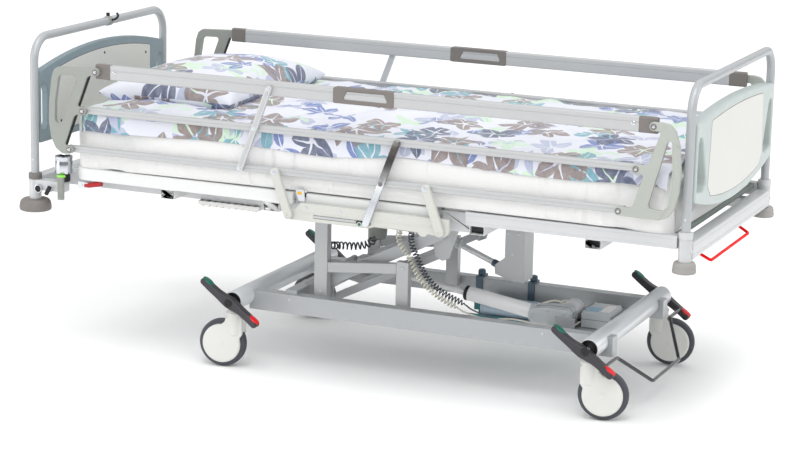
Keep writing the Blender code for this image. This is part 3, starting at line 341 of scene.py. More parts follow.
def make_materials():
    W = srgb(0.93, 0.94, 0.95)
    M["silver"] = finish_mat("silver_paint_satin", srgb(0.765, 0.772, 0.778), 0.36, 0.15, 0.15, 0.012, grain_h=0.00003, edge_wear_highlight=W, edge_wear_highlight_amt=0.2, rvar=0.3)
    M["frame_main"] = finish_mat("frame_paint_silver", srgb(0.775, 0.782, 0.787), 0.36, 0.12, 0.15, 0.012, grain_h=0.00003, edge_wear_highlight=W, edge_wear_highlight_amt=0.2, rvar=0.3, low=(0.498, 0.80))
    M["hoop"] = finish_mat("hoop_paint_silver", srgb(0.672, 0.686, 0.694), 0.34, 0.15, 0.15, 0.012, grain_h=0.00002, rvar=0.2)
    M["frame_dark"] = finish_mat("frame_paint_grey", srgb(0.69, 0.70, 0.71), 0.40, 0.18, 0.1, 0.02, grain_h=0.00004, edge_wear_highlight=W, edge_wear_highlight_amt=0.2, dust=0.05, rvar=0.35)
    M["base"] = finish_mat("base_paint_silver", srgb(0.665, 0.675, 0.685), 0.38, 0.18, 0.15, 0.014, grain_h=0.00003, edge_wear_highlight=W, edge_wear_highlight_amt=0.15, dust=0.05, rvar=0.3)
    M["tube"] = finish_mat("base_tube_silver", srgb(0.85, 0.862, 0.872), 0.30, 0.20, 0.15, 0.008, grain=500.0, grain_h=0.000004, rvar=0.05)
    M["white"] = finish_mat("platform_white", srgb(0.865, 0.87, 0.865), 0.40, 0.0, 0.1, 0.02, edge_wear_highlight=srgb(0.7, 0.7, 0.7), edge_wear_highlight_amt=0.3)
    M["alu_bar"] = finish_mat("rail_bar_anodised", srgb(0.712, 0.717, 0.719), 0.36, 0.12, 0.0, 0.010, grain=700.0, grain_h=0.00002, rvar=0.2)
    M["cream"] = finish_mat("rail_arm_cream", srgb(0.765, 0.767, 0.742), 0.38, 0.0, 0.15, 0.025, edge_wear_highlight=srgb(0.62, 0.61, 0.58), edge_wear_highlight_amt=0.35)
    M["hood"] = finish_mat("caster_hood_cream", srgb(0.835, 0.835, 0.818), 0.42, 0.0, 0.1, 0.015, grain=900.0, grain_h=0.00005)
    M["end_plastic"] = finish_mat("rail_end_plastic", srgb(0.575, 0.587, 0.567), 0.44, 0.0, 0.0, 0.025, grain=1100.0, grain_h=0.00008,
                                  edge_wear_highlight=srgb(0.80, 0.80, 0.78), edge_wear_highlight_amt=0.25)
    M["taupe"] = finish_mat("grip_taupe", srgb(0.455, 0.435, 0.42), 0.52, 0.0, 0.0, 0.04, grain=800.0, grain_h=0.00012)
    M["blue_grey"] = finish_mat("headboard_blue_grey", srgb(0.50, 0.565, 0.59), 0.42, 0.0, 0.0, 0.03, grain=900.0, grain_h=0.00008,
                                edge_wear_highlight=srgb(0.78, 0.82, 0.83), edge_wear_highlight_amt=0.25)
    M["pale_frame"] = finish_mat("footboard_pale_green", srgb(0.715, 0.755, 0.745), 0.38, 0.0, 0.05, 0.02, grain=900.0, grain_h=0.00008,
                                 edge_wear_highlight=srgb(0.9, 0.92, 0.91), edge_wear_highlight_amt=0.2)
    M["laminate"] = finish_mat("board_laminate", srgb(0.805, 0.81, 0.79), 0.42, 0.0, 0.05, 0.012, grain=420.0, grain_h=0.00002, rvar=0.4)
    M["tyre"] = finish_mat("tyre_rubber", srgb(0.27, 0.275, 0.305), 0.58, 0.0, 0.0, 0.10, grain=500.0, grain_h=0.00018, dust=0.12)
    M["pedal"] = finish_mat("pedal_nylon", srgb(0.205, 0.195, 0.215), 0.40, 0.0, 0.0, 0.06, grain=1000.0, grain_h=0.00012,
                            edge_wear_highlight=srgb(0.45, 0.44, 0.45), edge_wear_highlight_amt=0.5)
    M["green"] = finish_mat("pad_green", srgb(0.0, 0.40, 0.32), 0.45, 0.0, 0.1, 0.06, edge_wear_highlight=srgb(0.2, 0.6, 0.5))
    M["red"] = finish_mat("pad_red", srgb(0.86, 0.05, 0.10), 0.42, 0.0, 0.1, 0.05, edge_wear_highlight=srgb(0.95, 0.45, 0.45))
    M["red_rod"] = finish_mat("rod_red_enamel", srgb(0.93, 0.0, 0.03), 0.50, 0.0, 0.0, 0.03, grain=300.0, grain_h=0.00002, spec=0.2)
    M["lime"] = finish_mat("collar_lime", srgb(0.55, 0.88, 0.30), 0.45, 0.0, 0.0, 0.05)
    M["chrome"] = finish_mat("chrome_plate", srgb(0.80, 0.81, 0.83), 0.16, 1.0, 0.0, 0.02, grain=200.0, grain_h=0.000003, rvar=0.15)
    M["zinc"] = finish_mat("zinc_screws", srgb(0.80, 0.82, 0.84), 0.30, 0.85, 0.0, 0.05, grain=900.0, grain_h=0.00001, rvar=0.2)
    M["rod"] = finish_mat("actuator_rod_ground", srgb(0.88, 0.885, 0.885), 0.26, 0.35, 0.0, 0.02, grain_h=0.000005, rvar=0.15)
    M["motor"] = finish_mat("motor_housing_grey", srgb(0.725, 0.745, 0.755), 0.42, 0.0, 0.0, 0.03, grain=700.0, grain_h=0.00014,
                            edge_wear_highlight=srgb(0.85, 0.86, 0.86), edge_wear_highlight_amt=0.3)
    M["motor_pot"] = finish_mat("motor_pot_warm_grey", srgb(0.555, 0.57, 0.55), 0.42, 0.0, 0.0, 0.03, grain=700.0, grain_h=0.00012)
    M["act_tube"] = finish_mat("actuator_tube_white", srgb(0.93, 0.933, 0.935), 0.30, 0.0, 0.3, 0.015, grain_h=0.00001, rvar=0.2)
    M["black"] = finish_mat("black_plastic", srgb(0.075, 0.075, 0.08), 0.45, 0.0, 0.0, 0.15, grain=700.0, grain_h=0.0001)
    M["black_rod"] = finish_mat("black_chrome_rod", srgb(0.10, 0.10, 0.115), 0.20, 0.2, 0.9, 0.05, grain=500.0, grain_h=0.000005, rvar=0.2)
    M["cable_light"] = finish_mat("cable_cream", srgb(0.86, 0.85, 0.80), 0.5, 0.0, 0.0, 0.05)
    M["cable_dark"] = finish_mat("cable_graphite", srgb(0.26, 0.28, 0.31), 0.42, 0.0, 0.1, 0.08)
    M["gas"] = finish_mat("cylinder_blue_grey", srgb(0.66, 0.73, 0.79), 0.32, 0.15, 0.3, 0.03, edge_wear_highlight=srgb(0.8, 0.83, 0.85))
    M["teal"] = finish_mat("cradle_teal", srgb(0.10, 0.47, 0.49), 0.40, 0.0, 0.2, 0.06, edge_wear_highlight=srgb(0.4, 0.65, 0.66))
    M["hook"] = finish_mat("hook_slate", srgb(0.30, 0.38, 0.44), 0.42, 0.2, 0.1, 0.06)
    M["label_pale"] = finish_mat("pad_pale_blank", srgb(0.88, 0.875, 0.865), 0.35, 0.0, 0.3, 0.01)
    M["yellow"] = finish_mat("mark_yellow", srgb(0.93, 0.72, 0.10), 0.5, 0.0, 0.0, 0.05)
    M["plated_strut"] = strut_mat()
    M["sheet"] = sheet_mat()
    M["print"] = print_mat()


make_materials()


# ================================================================ mesh helpers
def to_mesh(bm, name="m", recalc=True):
    if recalc:
        bmesh.ops.recalc_face_normals(bm, faces=bm.faces)
    me = bpy.data.meshes.new(name)
    bm.to_mesh(me)
    bm.free()
    me.update()
    return me


def round_edges(o, width, seg=3, angle=32):
    """Rounds the edges of a sharp solid without touching its base mesh."""
    w = o.modifiers.new("weld", "WELD")
    w.merge_threshold = 0.00004
    d = o.modifiers.new("flat", "DECIMATE")
    d.decimate_type = "DISSOLVE"
    d.angle_limit = math.radians(0.8)
    b = o.modifiers.new("round", "BEVEL")
    b.width, b.segments, b.limit_method, b.angle_limit = width, seg, "ANGLE", math.radians(angle)
    b.use_clamp_overlap = False
    b.miter_outer = "MITER_ARC" if seg > 2 else "MITER_SHARP"
    n = o.modifiers.new("normals", "WEIGHTED_NORMAL")
    n.keep_sharp = False
    n.weight = 60


def dress(node, mat, bevel=0.0012, seg=2, angle=32):
    """A CAD node that stays: new finish and softened edges."""
    o = NODES[node]
    me = o.data
    for a in ("custom_normal", "sharp_edge", "sharp_face"):
        if a in me.attributes:
            me.attributes.remove(me.attributes[a])
    me.polygons.foreach_set("use_smooth", [True] * len(me.polygons))
    round_edges(o, bevel, seg, angle)
    for s in o.material_slots:
        s.material = mat
    if not o.material_slots:
        me.materials.append(mat)
    return o


def piece(name, me, mat, body, slot=None, bevel=0.0, seg=3, angle=32, stands_for=(), shift=True, smooth=35, ride=True):
    if shift:
        me.transform(Matrix.Translation((DX, 0, 0)))
    o = bpy.data.objects.new(name, me)
    bpy.context.scene.collection.objects.link(o)
    me.materials.clear()
    me.materials.append(mat)
    me.shade_smooth()
    if bevel:
        round_edges(o, bevel, seg, angle)
    elif smooth < 180:
        me.set_sharp_from_angle(angle=math.radians(smooth))
    if ride:
        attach(o, body)
    if stands_for:
        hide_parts(*stands_for)
    return o


def put(axis, a, b, c):
    return {"x": (c, a, b), "y": (a, c, b), "z": (a, b, c)}[axis]


def prism(axis, outline, c0, c1, holes=()):
    bm = bmesh.new()
    edges = []
    for loop in (outline, *holes):
        vs = [bm.verts.new(put(axis, p[0], p[1], c0)) for p in loop]
        for i in range(len(vs)):
            edges.append(bm.edges.new((vs[i], vs[(i + 1) % len(vs)])))
    if holes:
        bmesh.ops.triangle_fill(bm, use_beauty=True, use_dissolve=False, edges=edges)
    else:
        bm.faces.new(list(bm.verts))
    ext = bmesh.ops.extrude_face_region(bm, geom=list(bm.faces))
    bmesh.ops.translate(bm, vec=Vector(put(axis, 0, 0, c1 - c0)), verts=[v for v in ext["geom"] if isinstance(v, bmesh.types.BMVert)])
    return to_mesh(bm)


def box(x0, x1, y0, y1, z0, z1):
    return prism("z", [(x0, y0), (x1, y0), (x1, y1), (x0, y1)], z0, z1)


def lathe(profile, p, direction, seg=48):
    """(distance along the axis, radius) points turned about an axis through p. Ends at radius 0 close themselves;
    a profile whose first and last points are equal makes a ring."""
    n = Vector(direction).normalized()
    u = n.orthogonal().normalized()
    w = n.cross(u)
    p = Vector(p)
    bm = bmesh.new()
    rings = []
    closed = Vector(profile[0]) == Vector(profile[-1])
    pts = profile[:-1] if closed else profile
    for a, r in pts:
        if r < 1e-7:
            rings.append([bm.verts.new(p + n * a)])
        else:
            rings.append([bm.verts.new(p + n * a + r * (math.cos(2 * PI * k / seg) * u + math.sin(2 * PI * k / seg) * w)) for k in range(seg)])
    pairs = list(zip(rings, rings[1:])) + ([(rings[-1], rings[0])] if closed else [])
    for a, b in pairs:
        for k in range(seg):
            j = (k + 1) % seg
            if len(a) == 1:
                bm.faces.new((a[0], b[j], b[k]))
            elif len(b) == 1:
                bm.faces.new((a[k], a[j], b[0]))
            else:
                bm.faces.new((a[k], a[j], b[j], b[k]))
    if not closed:
        if len(rings[0]) > 1:
            bm.faces.new(rings[0])
        if len(rings[-1]) > 1:
            bm.faces.new(rings[-1])
    return to_mesh(bm)


def rod(p0, p1, r, chamfer=0.0008, seg=32):
    p0, p1 = Vector(p0), Vector(p1)
    L = (p1 - p0).length
    c = min(chamfer, r * 0.4, L * 0.3)
    prof = [(0, 0), (0, r - c), (c * 0.3, r - 0.3 * c), (c, r), (L - c, r), (L - 0.3 * c, r - 0.3 * c), (L, r - c), (L, 0)]
    return lathe(prof, p0, p1 - p0, seg)


def ring_tube(p0, p1, r, bore, lip=0.0008, seg=64):
    p0, p1 = Vector(p0), Vector(p1)
    L = (p1 - p0).length
    prof = [(lip, r), (L - lip, r), (L - 0.2 * lip, r - 0.4 * lip), (L, r - lip), (L, bore), (0, bore), (0, r - lip), (0.2 * lip, r - 0.4 * lip), (lip, r)]
    return lathe(prof, p0, p1 - p0, seg)


def fillet(points, radius, steps=8):
    pts = [Vector(p) for p in points]
    out = [pts[0]]
    for a, b, c in zip(pts, pts[1:], pts[2:]):
        d0, d1 = (a - b).normalized(), (c - b).normalized()
        ang = d0.angle(d1)
        if ang > math.radians(178):
            out.append(b)
            continue
        t = min(radius / math.tan(ang / 2), 0.48 * (a - b).length, 0.48 * (c - b).length)
        r = t * math.tan(ang / 2)
        centre = b + (d0 + d1).normalized() * (r / math.sin(ang / 2))
        s, e = b + d0 * t - centre, b + d1 * t - centre
        total, axis = s.angle(e), s.cross(e).normalized()
        for k in range(steps + 1):
            out.append(centre + Matrix.Rotation(total * k / steps, 3, axis) @ s)
    out.append(pts[-1])
    return out


def sweep(points, r, seg=20, cap=True):
    pts = [Vector(p) for p in points]
    bm = bmesh.new()
    t_prev = (pts[1] - pts[0]).normalized()
    u = t_prev.orthogonal().normalized()
    rings = []
    for i, p in enumerate(pts):
        if i == 0:
            t = t_prev
        elif i == len(pts) - 1:
            t = (pts[i] - pts[i - 1]).normalized()
        else:
            t = ((pts[i + 1] - p).normalized() + (p - pts[i - 1]).normalized()).normalized()
        u = (t_prev.rotation_difference(t) @ u).normalized()
        t_prev = t
        w = t.cross(u)
        rr = r(i / (len(pts) - 1)) if callable(r) else r
        rings.append([bm.verts.new(p + rr * (math.cos(2 * PI * k / seg) * u + math.sin(2 * PI * k / seg) * w)) for k in range(seg)])
    for a, b in zip(rings, rings[1:]):
        for k in range(seg):
            j = (k + 1) % seg
            bm.faces.new((a[k], a[j], b[j], b[k]))
    if cap:
        bm.faces.new(list(reversed(rings[0])))
        bm.faces.new(rings[-1])
    return to_mesh(bm)


def smooth_path(points, n=60):
    """Catmull-Rom curve through the points."""
    P = [Vector(p) for p in points]
    P = [2 * P[0] - P[1]] + P + [2 * P[-1] - P[-2]]
    out = []
    m = len(P) - 3
    for i in range(n + 1):
        s = i / n * m
        k = min(int(s), m - 1)
        t = s - k
        a, b, c, d = P[k:k + 4]
        out.append(0.5 * ((2 * b) + (c - a) * t + (2 * a - 5 * b + 4 * c - d) * t * t + (3 * b - a - 3 * c + d) * t ** 3))
    return out


def coil(points, r_coil, r_wire, turns, n_per=14, lead=0.06):
    """A coiled cord that follows a path, with straight leads at both ends."""
    path = smooth_path(points, 240)
    acc = [0.0]
    for a, b in zip(path, path[1:]):
        acc.append(acc[-1] + (b - a).length)
    total = acc[-1]
    n = int(turns * n_per)
    out = []
    u = (path[1] - path[0]).normalized().orthogonal().normalized()
    t_prev = (path[1] - path[0]).normalized()
    for i in range(n + 1):
        f = i / n
        s = f * total
        k = int(np.searchsorted(acc, s, side="right")) - 1
        k = min(max(k, 0), len(path) - 2)
        q = (s - acc[k]) / max(acc[k + 1] - acc[k], 1e-9)
        c = path[k].lerp(path[k + 1], q)
        t = (path[k + 1] - path[k]).normalized()
        u = (t_prev.rotation_difference(t) @ u).normalized()
        t_prev = t
        w = t.cross(u)
        env = min(1.0, f / lead, (1 - f) / lead)
        env = env * env * (3 - 2 * env)
        a = 2 * PI * turns * f
        out.append(c + r_coil * env * (math.cos(a) * u + math.sin(a) * w))
    return sweep(out, r_wire, 8)


def combine(first, others, operation):
    base = bpy.data.objects.new("work", first)
    bpy.context.scene.collection.objects.link(base)
    tools = []
    for me in others:
        t = bpy.data.objects.new("tool", me)
        bpy.context.scene.collection.objects.link(t)
        m = base.modifiers.new("b", "BOOLEAN")
        m.operation, m.solver, m.object = operation, "EXACT", t
        tools.append(t)
    bpy.context.view_layer.update()
    me = bpy.data.meshes.new_from_object(base.evaluated_get(bpy.context.evaluated_depsgraph_get()))
    for o in (base, *tools):
        bpy.data.objects.remove(o, do_unlink=True)
    return me


def baked(o):
    """Applies an object's modifiers to its own mesh."""
    bpy.context.view_layer.update()
    me = bpy.data.meshes.new_from_object(o.evaluated_get(bpy.context.evaluated_depsgraph_get()))
    o.modifiers.clear()
    o.data = me
    return o


def capsule(p0, p1, r, steps=14):
    a, b = Vector((p0[0], p0[1])), Vector((p1[0], p1[1]))
    d = (b - a).normalized()
    ang = math.atan2(d.y, d.x)
    out = []
    for c, s in ((b, ang - PI / 2), (a, ang + PI / 2)):
        for k in range(steps + 1):
            t = s + PI * k / steps
            out.append((c.x + r * math.cos(t), c.y + r * math.sin(t)))
    return out


def screw(name, p, normal, body, r=0.0052, h=0.0022, mat="zinc"):
    """Pan-head screw with a socket recess, seated on a face."""
    prof = [(-0.0015, 0.0), (-0.0015, r * 0.98), (0.0, r), (h * 0.45, r * 0.97), (h * 0.8, r * 0.82), (h, r * 0.55), (h, r * 0.42), (h * 0.35, r * 0.36), (h * 0.35, 0.0)]
    return piece(name, lathe(prof, p, normal, 18), M[mat], body, "chrome", smooth=30)


def rounded_outline(pts, r, steps=6):
    """Rounds the corners of a closed 2-D outline."""
    out = []
    n = len(pts)
    for i in range(n):
        a, b, c = Vector(pts[i - 1]), Vector(pts[i]), Vector(pts[(i + 1) % n])
        d0, d1 = (a - b).normalized(), (c - b).normalized()
        ang = d0.angle(d1)
        if ang > math.radians(172):
            out.append(tuple(b))
            continue
        t = min(r / math.tan(ang / 2), 0.45 * (a - b).length, 0.45 * (c - b).length)
        rr = t * math.tan(ang / 2)
        cen = b + (d0 + d1).normalized() * (rr / math.sin(ang / 2))
        s, e = b + d0 * t - cen, b + d1 * t - cen
        sgn = 1 if s.x * e.y - s.y * e.x > 0 else -1
        tot = s.angle(e) * sgn
        for k in range(steps + 1):
            q = tot * k / steps
            out.append((cen.x + s.x * math.cos(q) - s.y * math.sin(q), cen.y + s.x * math.sin(q) + s.y * math.cos(q)))
    return out


def offset(pts, d):
    """A closed outline moved outward by d (inward when negative)."""
    area = sum(pts[i - 1][0] * pts[i][1] - pts[i][0] * pts[i - 1][1] for i in range(len(pts)))
    s = 1 if area > 0 else -1
    out = []
    n = len(pts)
    for i in range(n):
        a, b, c = Vector(pts[i - 1]), Vector(pts[i]), Vector(pts[(i + 1) % n])
        n0 = Vector(((b - a).y, -(b - a).x)).normalized() * s
        n1 = Vector(((c - b).y, -(c - b).x)).normalized() * s
        m = (n0 + n1)
        m = m.normalized() / max(0.5, math.sqrt(max(0.01, (1 + n0.dot(n1)) / 2)))
        out.append((b.x + m.x * d, b.y + m.y * d))
    return out


def arc(cx, cy, r, a0, a1, steps=10):
    return [(cx + r * math.cos(math.radians(a0 + (a1 - a0) * k / steps)), cy + r * math.sin(math.radians(a0 + (a1 - a0) * k / steps)))
            for k in range(steps + 1)]


def mirrored(me):
    me = me.copy()
    me.transform(Matrix.Scale(-1, 4, (0, 1, 0)))
    me.flip_normals()
    return me


# ================================================================ base
dress("base_frame", M["base"], 0.0022, 3)
dress("control_box", M["motor"], 0.0035, 3)
dress("cylinder_cradle", M["teal"], 0.0010, 2)
dress("lift_arm_upper", M["frame_dark"], 0.0014, 2)
dress("lift_arm_lower", M["frame_dark"], 0.0014, 2)

for tag, sx in (("head", -1), ("foot", 1)):
    x = sx * 0.574
    piece("tube_cross_" + tag, ring_tube((x, -0.350, 0.213), (x, 0.350, 0.213), 0.030, 0.0265, 0.0014, 96), M["tube"], "base", "base_paint",
          stands_for=("cross_tube_" + tag,))
    for side, sy in (("near", -1), ("far", 1)):
        prof = [(0.0, 0.0098), (0.0, 0.0262), (0.0035, 0.0262), (0.0045, 0.0250), (0.0030, 0.0225), (0.0030, 0.0145), (0.0050, 0.0130), (0.0050, 0.0098), (0.0, 0.0098)]
        piece("plug_%s_%s" % (tag, side), lathe(prof, (x, sy * 0.3465, 0.213), (0, sy, 0), 48), M["black"], "base", "grey_plastic")
for side, sy in (("near", -1), ("far", 1)):
    y0, y1 = sorted((sy * 0.2235, sy * 0.2625))
    piece("rail_plug_" + side, box(0.6155, 0.6185, y0, y1, 0.1715, 0.2305), M["motor"], "base", "grey_plastic", bevel=0.0012)
    # welded-on bracket screws along the side rail
    for k, xx in enumerate((-0.425, 0.40, 0.485)):
        screw("rail_screw_%s_%d" % (side, k), (xx, sy * 0.263, 0.214), (0, sy, 0), "base", 0.0048)

piece("control_plate_blue", box(0.4600, 0.5000, -0.056, -0.008, 0.2449, 0.2458), finish_mat("plate_blue", srgb(0.42, 0.62, 0.74), 0.35), "base", "grey_plastic", bevel=0.0004, seg=2)
piece("control_plate_cream", box(0.5050, 0.5330, -0.050, 0.030, 0.2449, 0.2458), M["label_pale"], "base", "grey_plastic", bevel=0.0004, seg=2)
piece("control_seam", box(0.4494, 0.5436, -0.0666, 0.0526, 0.2200, 0.2212), M["cable_dark"], "base", "grey_plastic", bevel=0.0003, seg=2)
for k, (xx, yy) in enumerate(((0.458, -0.060), (0.534, -0.060), (0.458, 0.046), (0.534, 0.046))):
    screw("control_screw_%d" % k, (xx, yy, 0.2449), (0, 0, 1), "base", 0.003)
# sockets and cords at the box
for k, yy in enumerate((-0.048, -0.022, 0.006, 0.032)):
    piece("control_gland_%d" % k, lathe([(-0.004, 0), (-0.004, 0.0075), (0.003, 0.0078), (0.010, 0.0062), (0.014, 0.0044), (0.014, 0)], (0.450, yy, 0.212), (-1, 0, 0), 24),
          M["black"], "base", "grey_plastic")

prof = [(0.044, 0), (0.044, 0.018), (0.0455, 0.0235), (0.049, 0.0290), (0.054, 0.0330), (0.060, 0.0354), (0.067, 0.0360), (0.250, 0.0360), (0.259, 0.0350),
        (0.267, 0.0322), (0.274, 0.0278), (0.280, 0.0215), (0.2845, 0.0155), (0.288, 0.0130), (0.290, 0.0112), (0.302, 0.0108), (0.303, 0.0095), (0.308, 0.0090), (0.308, 0)]
piece("gas_cylinder", lathe(prof, (0, 0.165, 0.1545), (1, 0, 0), 72), M["gas"], "base", "gas_blue", stands_for=("oxygen_cylinder",), smooth=50)
piece("gas_band", lathe([(0.232, 0.0358), (0.232, 0.03625), (0.247, 0.03625), (0.247, 0.0358), (0.232, 0.0358)], (0, 0.165, 0.1545), (1, 0, 0), 72), M["chrome"], "base", "gas_blue")
top = 0.2315
for k, xx in enumerate((0.0095, 0.185)):
    strap = [(0.2066, 0.1496), (0.2227, 0.1496), (0.2227, top - 0.0002), (0.2635, top - 0.0002), (0.2635, 0.2046), (0.2688, 0.2046), (0.2688, top + 0.0053),
             (0.2175, top + 0.0053), (0.2175, 0.1550), (0.2066, 0.1550)]
    piece("cradle_strap_%d" % k, prism("x", strap, xx - 0.0107, xx + 0.0107), M["hook"], "base", "teal_plastic", bevel=0.0008)
    piece("cradle_knob_%d" % k, lathe([(0, 0), (0, 0.0115), (0.003, 0.0125), (0.012, 0.0125), (0.017, 0.0108), (0.019, 0.0070), (0.0195, 0)], (xx, 0.243, 0.2366), (0, 0, 1), 32),
          M["hook"], "base", "teal_plastic")


# ---------------------------------------------------------------- casters
def hood_mesh():
    """One-piece shell about the stem, trailing along +X: round column that flows into two cheek discs."""
    col = lathe([(0.104, 0), (0.104, 0.0255), (0.108, 0.0282), (0.1600, 0.0288), (0.1775, 0.0288), (0.1805, 0.0270), (0.1813, 0.0235), (0.1813, 0)], (0, 0, 0), (0, 0, 1), 64)
    disc = lathe([(-0.0240, 0), (-0.0240, 0.0545), (-0.0234, 0.0580), (-0.0210, 0.0608), (0.0210, 0.0608), (0.0234, 0.0580), (0.0240, 0.0545), (0.0240, 0)],
                 (0.041, 0, 0.075), (0, 1, 0), 96)
    # web that carries the column into the discs
    web = prism("y", [(-0.0140, 0.090), (0.0400, 0.100), (0.0440, 0.1330), (0.0300, 0.146), (0.0265, 0.160), (-0.0265, 0.160), (-0.0265, 0.108)], -0.0230, 0.0230)
    me = combine(col, [disc, web], "UNION")
    o = bpy.data.objects.new("hood_work", me)
    bpy.context.scene.collection.objects.link(o)
    r = o.modifiers.new("r", "REMESH")
    r.mode, r.voxel_size = "VOXEL", 0.0016
    s = o.modifiers.new("s", "SMOOTH")
    s.iterations, s.factor = 14, 0.5
    bpy.context.view_layer.update()
    me = bpy.data.meshes.new_from_object(o.evaluated_get(bpy.context.evaluated_depsgraph_get()))
    bpy.data.objects.remove(o, do_unlink=True)
    gone = lathe([(-0.0160, 0), (-0.0160, 0.0775), (-0.0150, 0.0785), (0.0150, 0.0785), (0.0160, 0.0775), (0.0160, 0)], (0.041, 0, 0.075), (0, 1, 0), 96)
    # ring for a faint parting groove round the shell; it is built but not cut into the shell
    groove = lathe([(-0.0006, 0.0562), (-0.0006, 0.064), (0.0006, 0.064), (0.0006, 0.0562), (-0.0006, 0.0562)], (0.041, 0, 0.075), (0, 1, 0), 96)
    return combine(me, [gone], "DIFFERENCE")


HOOD = hood_mesh()
w = 0.015
TYRE = [(-w, 0.0500), (-w, 0.0625), (-w + 0.0012, 0.0655), (-w + 0.0010, 0.0680), (-w + 0.0028, 0.0712), (-w + 0.0062, 0.0737), (-0.0050, 0.0748), (-0.0010, 0.0750),
        (-0.0003, 0.07475), (0.0003, 0.07475), (0.0010, 0.0750), (0.0050, 0.0748), (w - 0.0062, 0.0737), (w - 0.0028, 0.0712), (w - 0.0010, 0.0680), (w - 0.0012, 0.0655),
        (w, 0.0625), (w, 0.0500), (-w, 0.0500)]
HUB = [(-w + 0.001, 0.0063), (-w + 0.001, 0.0500), (w - 0.001, 0.0500), (w - 0.001, 0.0063), (-w + 0.001, 0.0063)]
for name, sx, sy in (("head_near", -1, -1), ("head_far", -1, 1), ("foot_near", 1, -1), ("foot_far", 1, 1)):
    turn = Matrix.Translation((sx * 0.574, sy * 0.327, 0)) @ Matrix.Rotation(math.radians(8) + (PI if sx < 0 else 0), 4, "Z")

    def t(me):
        me.transform(turn)
        return me
    piece("caster_hood_" + name, t(HOOD.copy()), M["hood"], "fork_" + name, "cream_plastic", stands_for=("caster_fork_" + name,), smooth=40)
    piece("caster_tyre_" + name, t(lathe(TYRE, (0.041, 0, 0.075), (0, 1, 0), 112)), M["tyre"], "wheel_" + name, "tyre", stands_for=("caster_wheel_" + name,), smooth=30)
    piece("caster_hub_" + name, t(lathe(HUB, (0.041, 0, 0.075), (0, 1, 0), 64)), M["end_plastic"], "wheel_" + name, "tyre")
    piece("caster_collar_" + name, t(lathe([(0.1700, 0.0284), (0.1700, 0.0300), (0.1708, 0.0308), (0.1742, 0.0308), (0.1750, 0.0300), (0.1750, 0.0284), (0.1700, 0.0284)], (0, 0, 0), (0, 0, 1), 64)),
          M["hood"], "fork_" + name, "cream_plastic")
    for k, s in enumerate((-1, 1)):
        piece("caster_cap_%s_%d" % (name, k), t(lathe([(0, 0), (0, 0.0095), (0.0006, 0.0092), (0.0009, 0.0080), (0.0009, 0)], (0.041, s * 0.0240, 0.075), (0, s, 0), 40)),
              M["hood"], "fork_" + name, "cream_plastic")


# ---------------------------------------------------------------- brake pedals
def lever_outline(cx, cz):
    c = Vector((cx, cz))
    d = Vector((math.cos(math.radians(-34)), math.sin(math.radians(-34))))
    n = Vector((-d.y, d.x))
    up, lo = [], []
    N = 36
    for k in range(N + 1):
        s = -1 + 2 * k / N
        h = 0.0105 + 0.0062 * math.exp(-(s / 0.30) ** 2)
        bend = 0.0028 * math.sin(PI * s)
        p = c + d * (s * 0.103)
        up.append(p + n * (h + bend))
        lo.append(p + n * (-h + bend))
    def cap(q, s):
        a0 = math.atan2(n.y, n.x)
        return [q + Vector((math.cos(a0 - s * PI * k / 12), math.sin(a0 - s * PI * k / 12))) * 0.0105 for k in range(1, 12)]
    end1 = c + d * 0.103
    end0 = c - d * 0.103
    pts = up + cap(end1, 1) + lo[::-1] + [end0 + Vector((math.cos(math.atan2(-n.y, -n.x) - PI * k / 12), math.sin(math.atan2(-n.y, -n.x) - PI * k / 12))) * 0.0105 for k in range(1, 12)]
    return [tuple(p) for p in pts], d, n


for tag, sx in (("head", -1), ("foot", 1)):
    cx, cz = sx * 0.574 - (0.010 if sx > 0 else 0.0), 0.213 - (0.005 if sx > 0 else 0.0)
    out, d, n = lever_outline(cx, cz)
    for side, sy in (("near", -1), ("far", 1)):
        y0, y1 = sorted((sy * 0.3565, sy * 0.3845))
        piece("pedal_%s_%s" % (tag, side), prism("y", out, y0, y1), M["pedal"], "pedals_" + tag, "pedal_plastic", bevel=0.0042, seg=4,
              stands_for=(("brake_pedals_" + tag,) if sy < 0 else ()))
        for col, s in (("green", -1), ("red", 1)):
            # domed oval pads over the lever's ends
            ctr = 0.905
            h = 0.0105 + 0.0062 * math.exp(-(ctr / 0.30) ** 2) + 0.0028 * math.sin(PI * s * ctr) - 0.0012
            me = lathe([(-0.004, 0), (-0.004, 0.97), (0.0, 1.0), (0.0010, 0.985), (0.0022, 0.90), (0.0034, 0.66), (0.0040, 0.35), (0.0042, 0)], (0, 0, 0), (0, 0, 1), 56)
            p = Vector((cx, cz)) + d * (s * 0.103 * ctr) + n * h
            me.transform(Matrix(((d.x * 0.0205, 0, n.x, p.x), (0, 0.0136, 0, sy * 0.3705), (d.y * 0.0205, 0, n.y, p.y), (0, 0, 0, 1))))
            bmx = bmesh.new()
            bmx.from_mesh(me)
            bmesh.ops.recalc_face_normals(bmx, faces=bmx.faces)
            bmx.to_mesh(me)
            bmx.free()
            piece("pad_%s_%s_%s" % (col, tag, side), me, M[col], "pedals_" + tag, "pedal_plastic", smooth=50)
        piece("pedal_hub_%s_%s" % (tag, side), lathe([(0, 0), (0, 0.0135), (0.0022, 0.0130), (0.0030, 0.0110), (0.0030, 0.0050), (0.0018, 0.0045), (0.0018, 0)],
              (sx * 0.574, sy * 0.3843, 0.213), (0, sy, 0), 40), M["black"], "pedals_" + tag, "pedal_plastic")
    piece("pedal_shaft_" + tag, rod((sx * 0.574, -0.3665, 0.213), (sx * 0.574, 0.3665, 0.213), 0.009, seg=40), M["chrome"], "pedals_" + tag, "chrome")
path = fillet([(0.630, -0.3685, 0.1715), (0.630, -0.257, 0.1715), (0.703, -0.130, 0.078), (0.703, 0.130, 0.078), (0.630, 0.257, 0.1715), (0.630, 0.3685, 0.1715)], 0.022, 16)
piece("foot_bar", sweep(path, 0.0055, 24), M["black_rod"], "pedals_foot", "chrome", smooth=50)

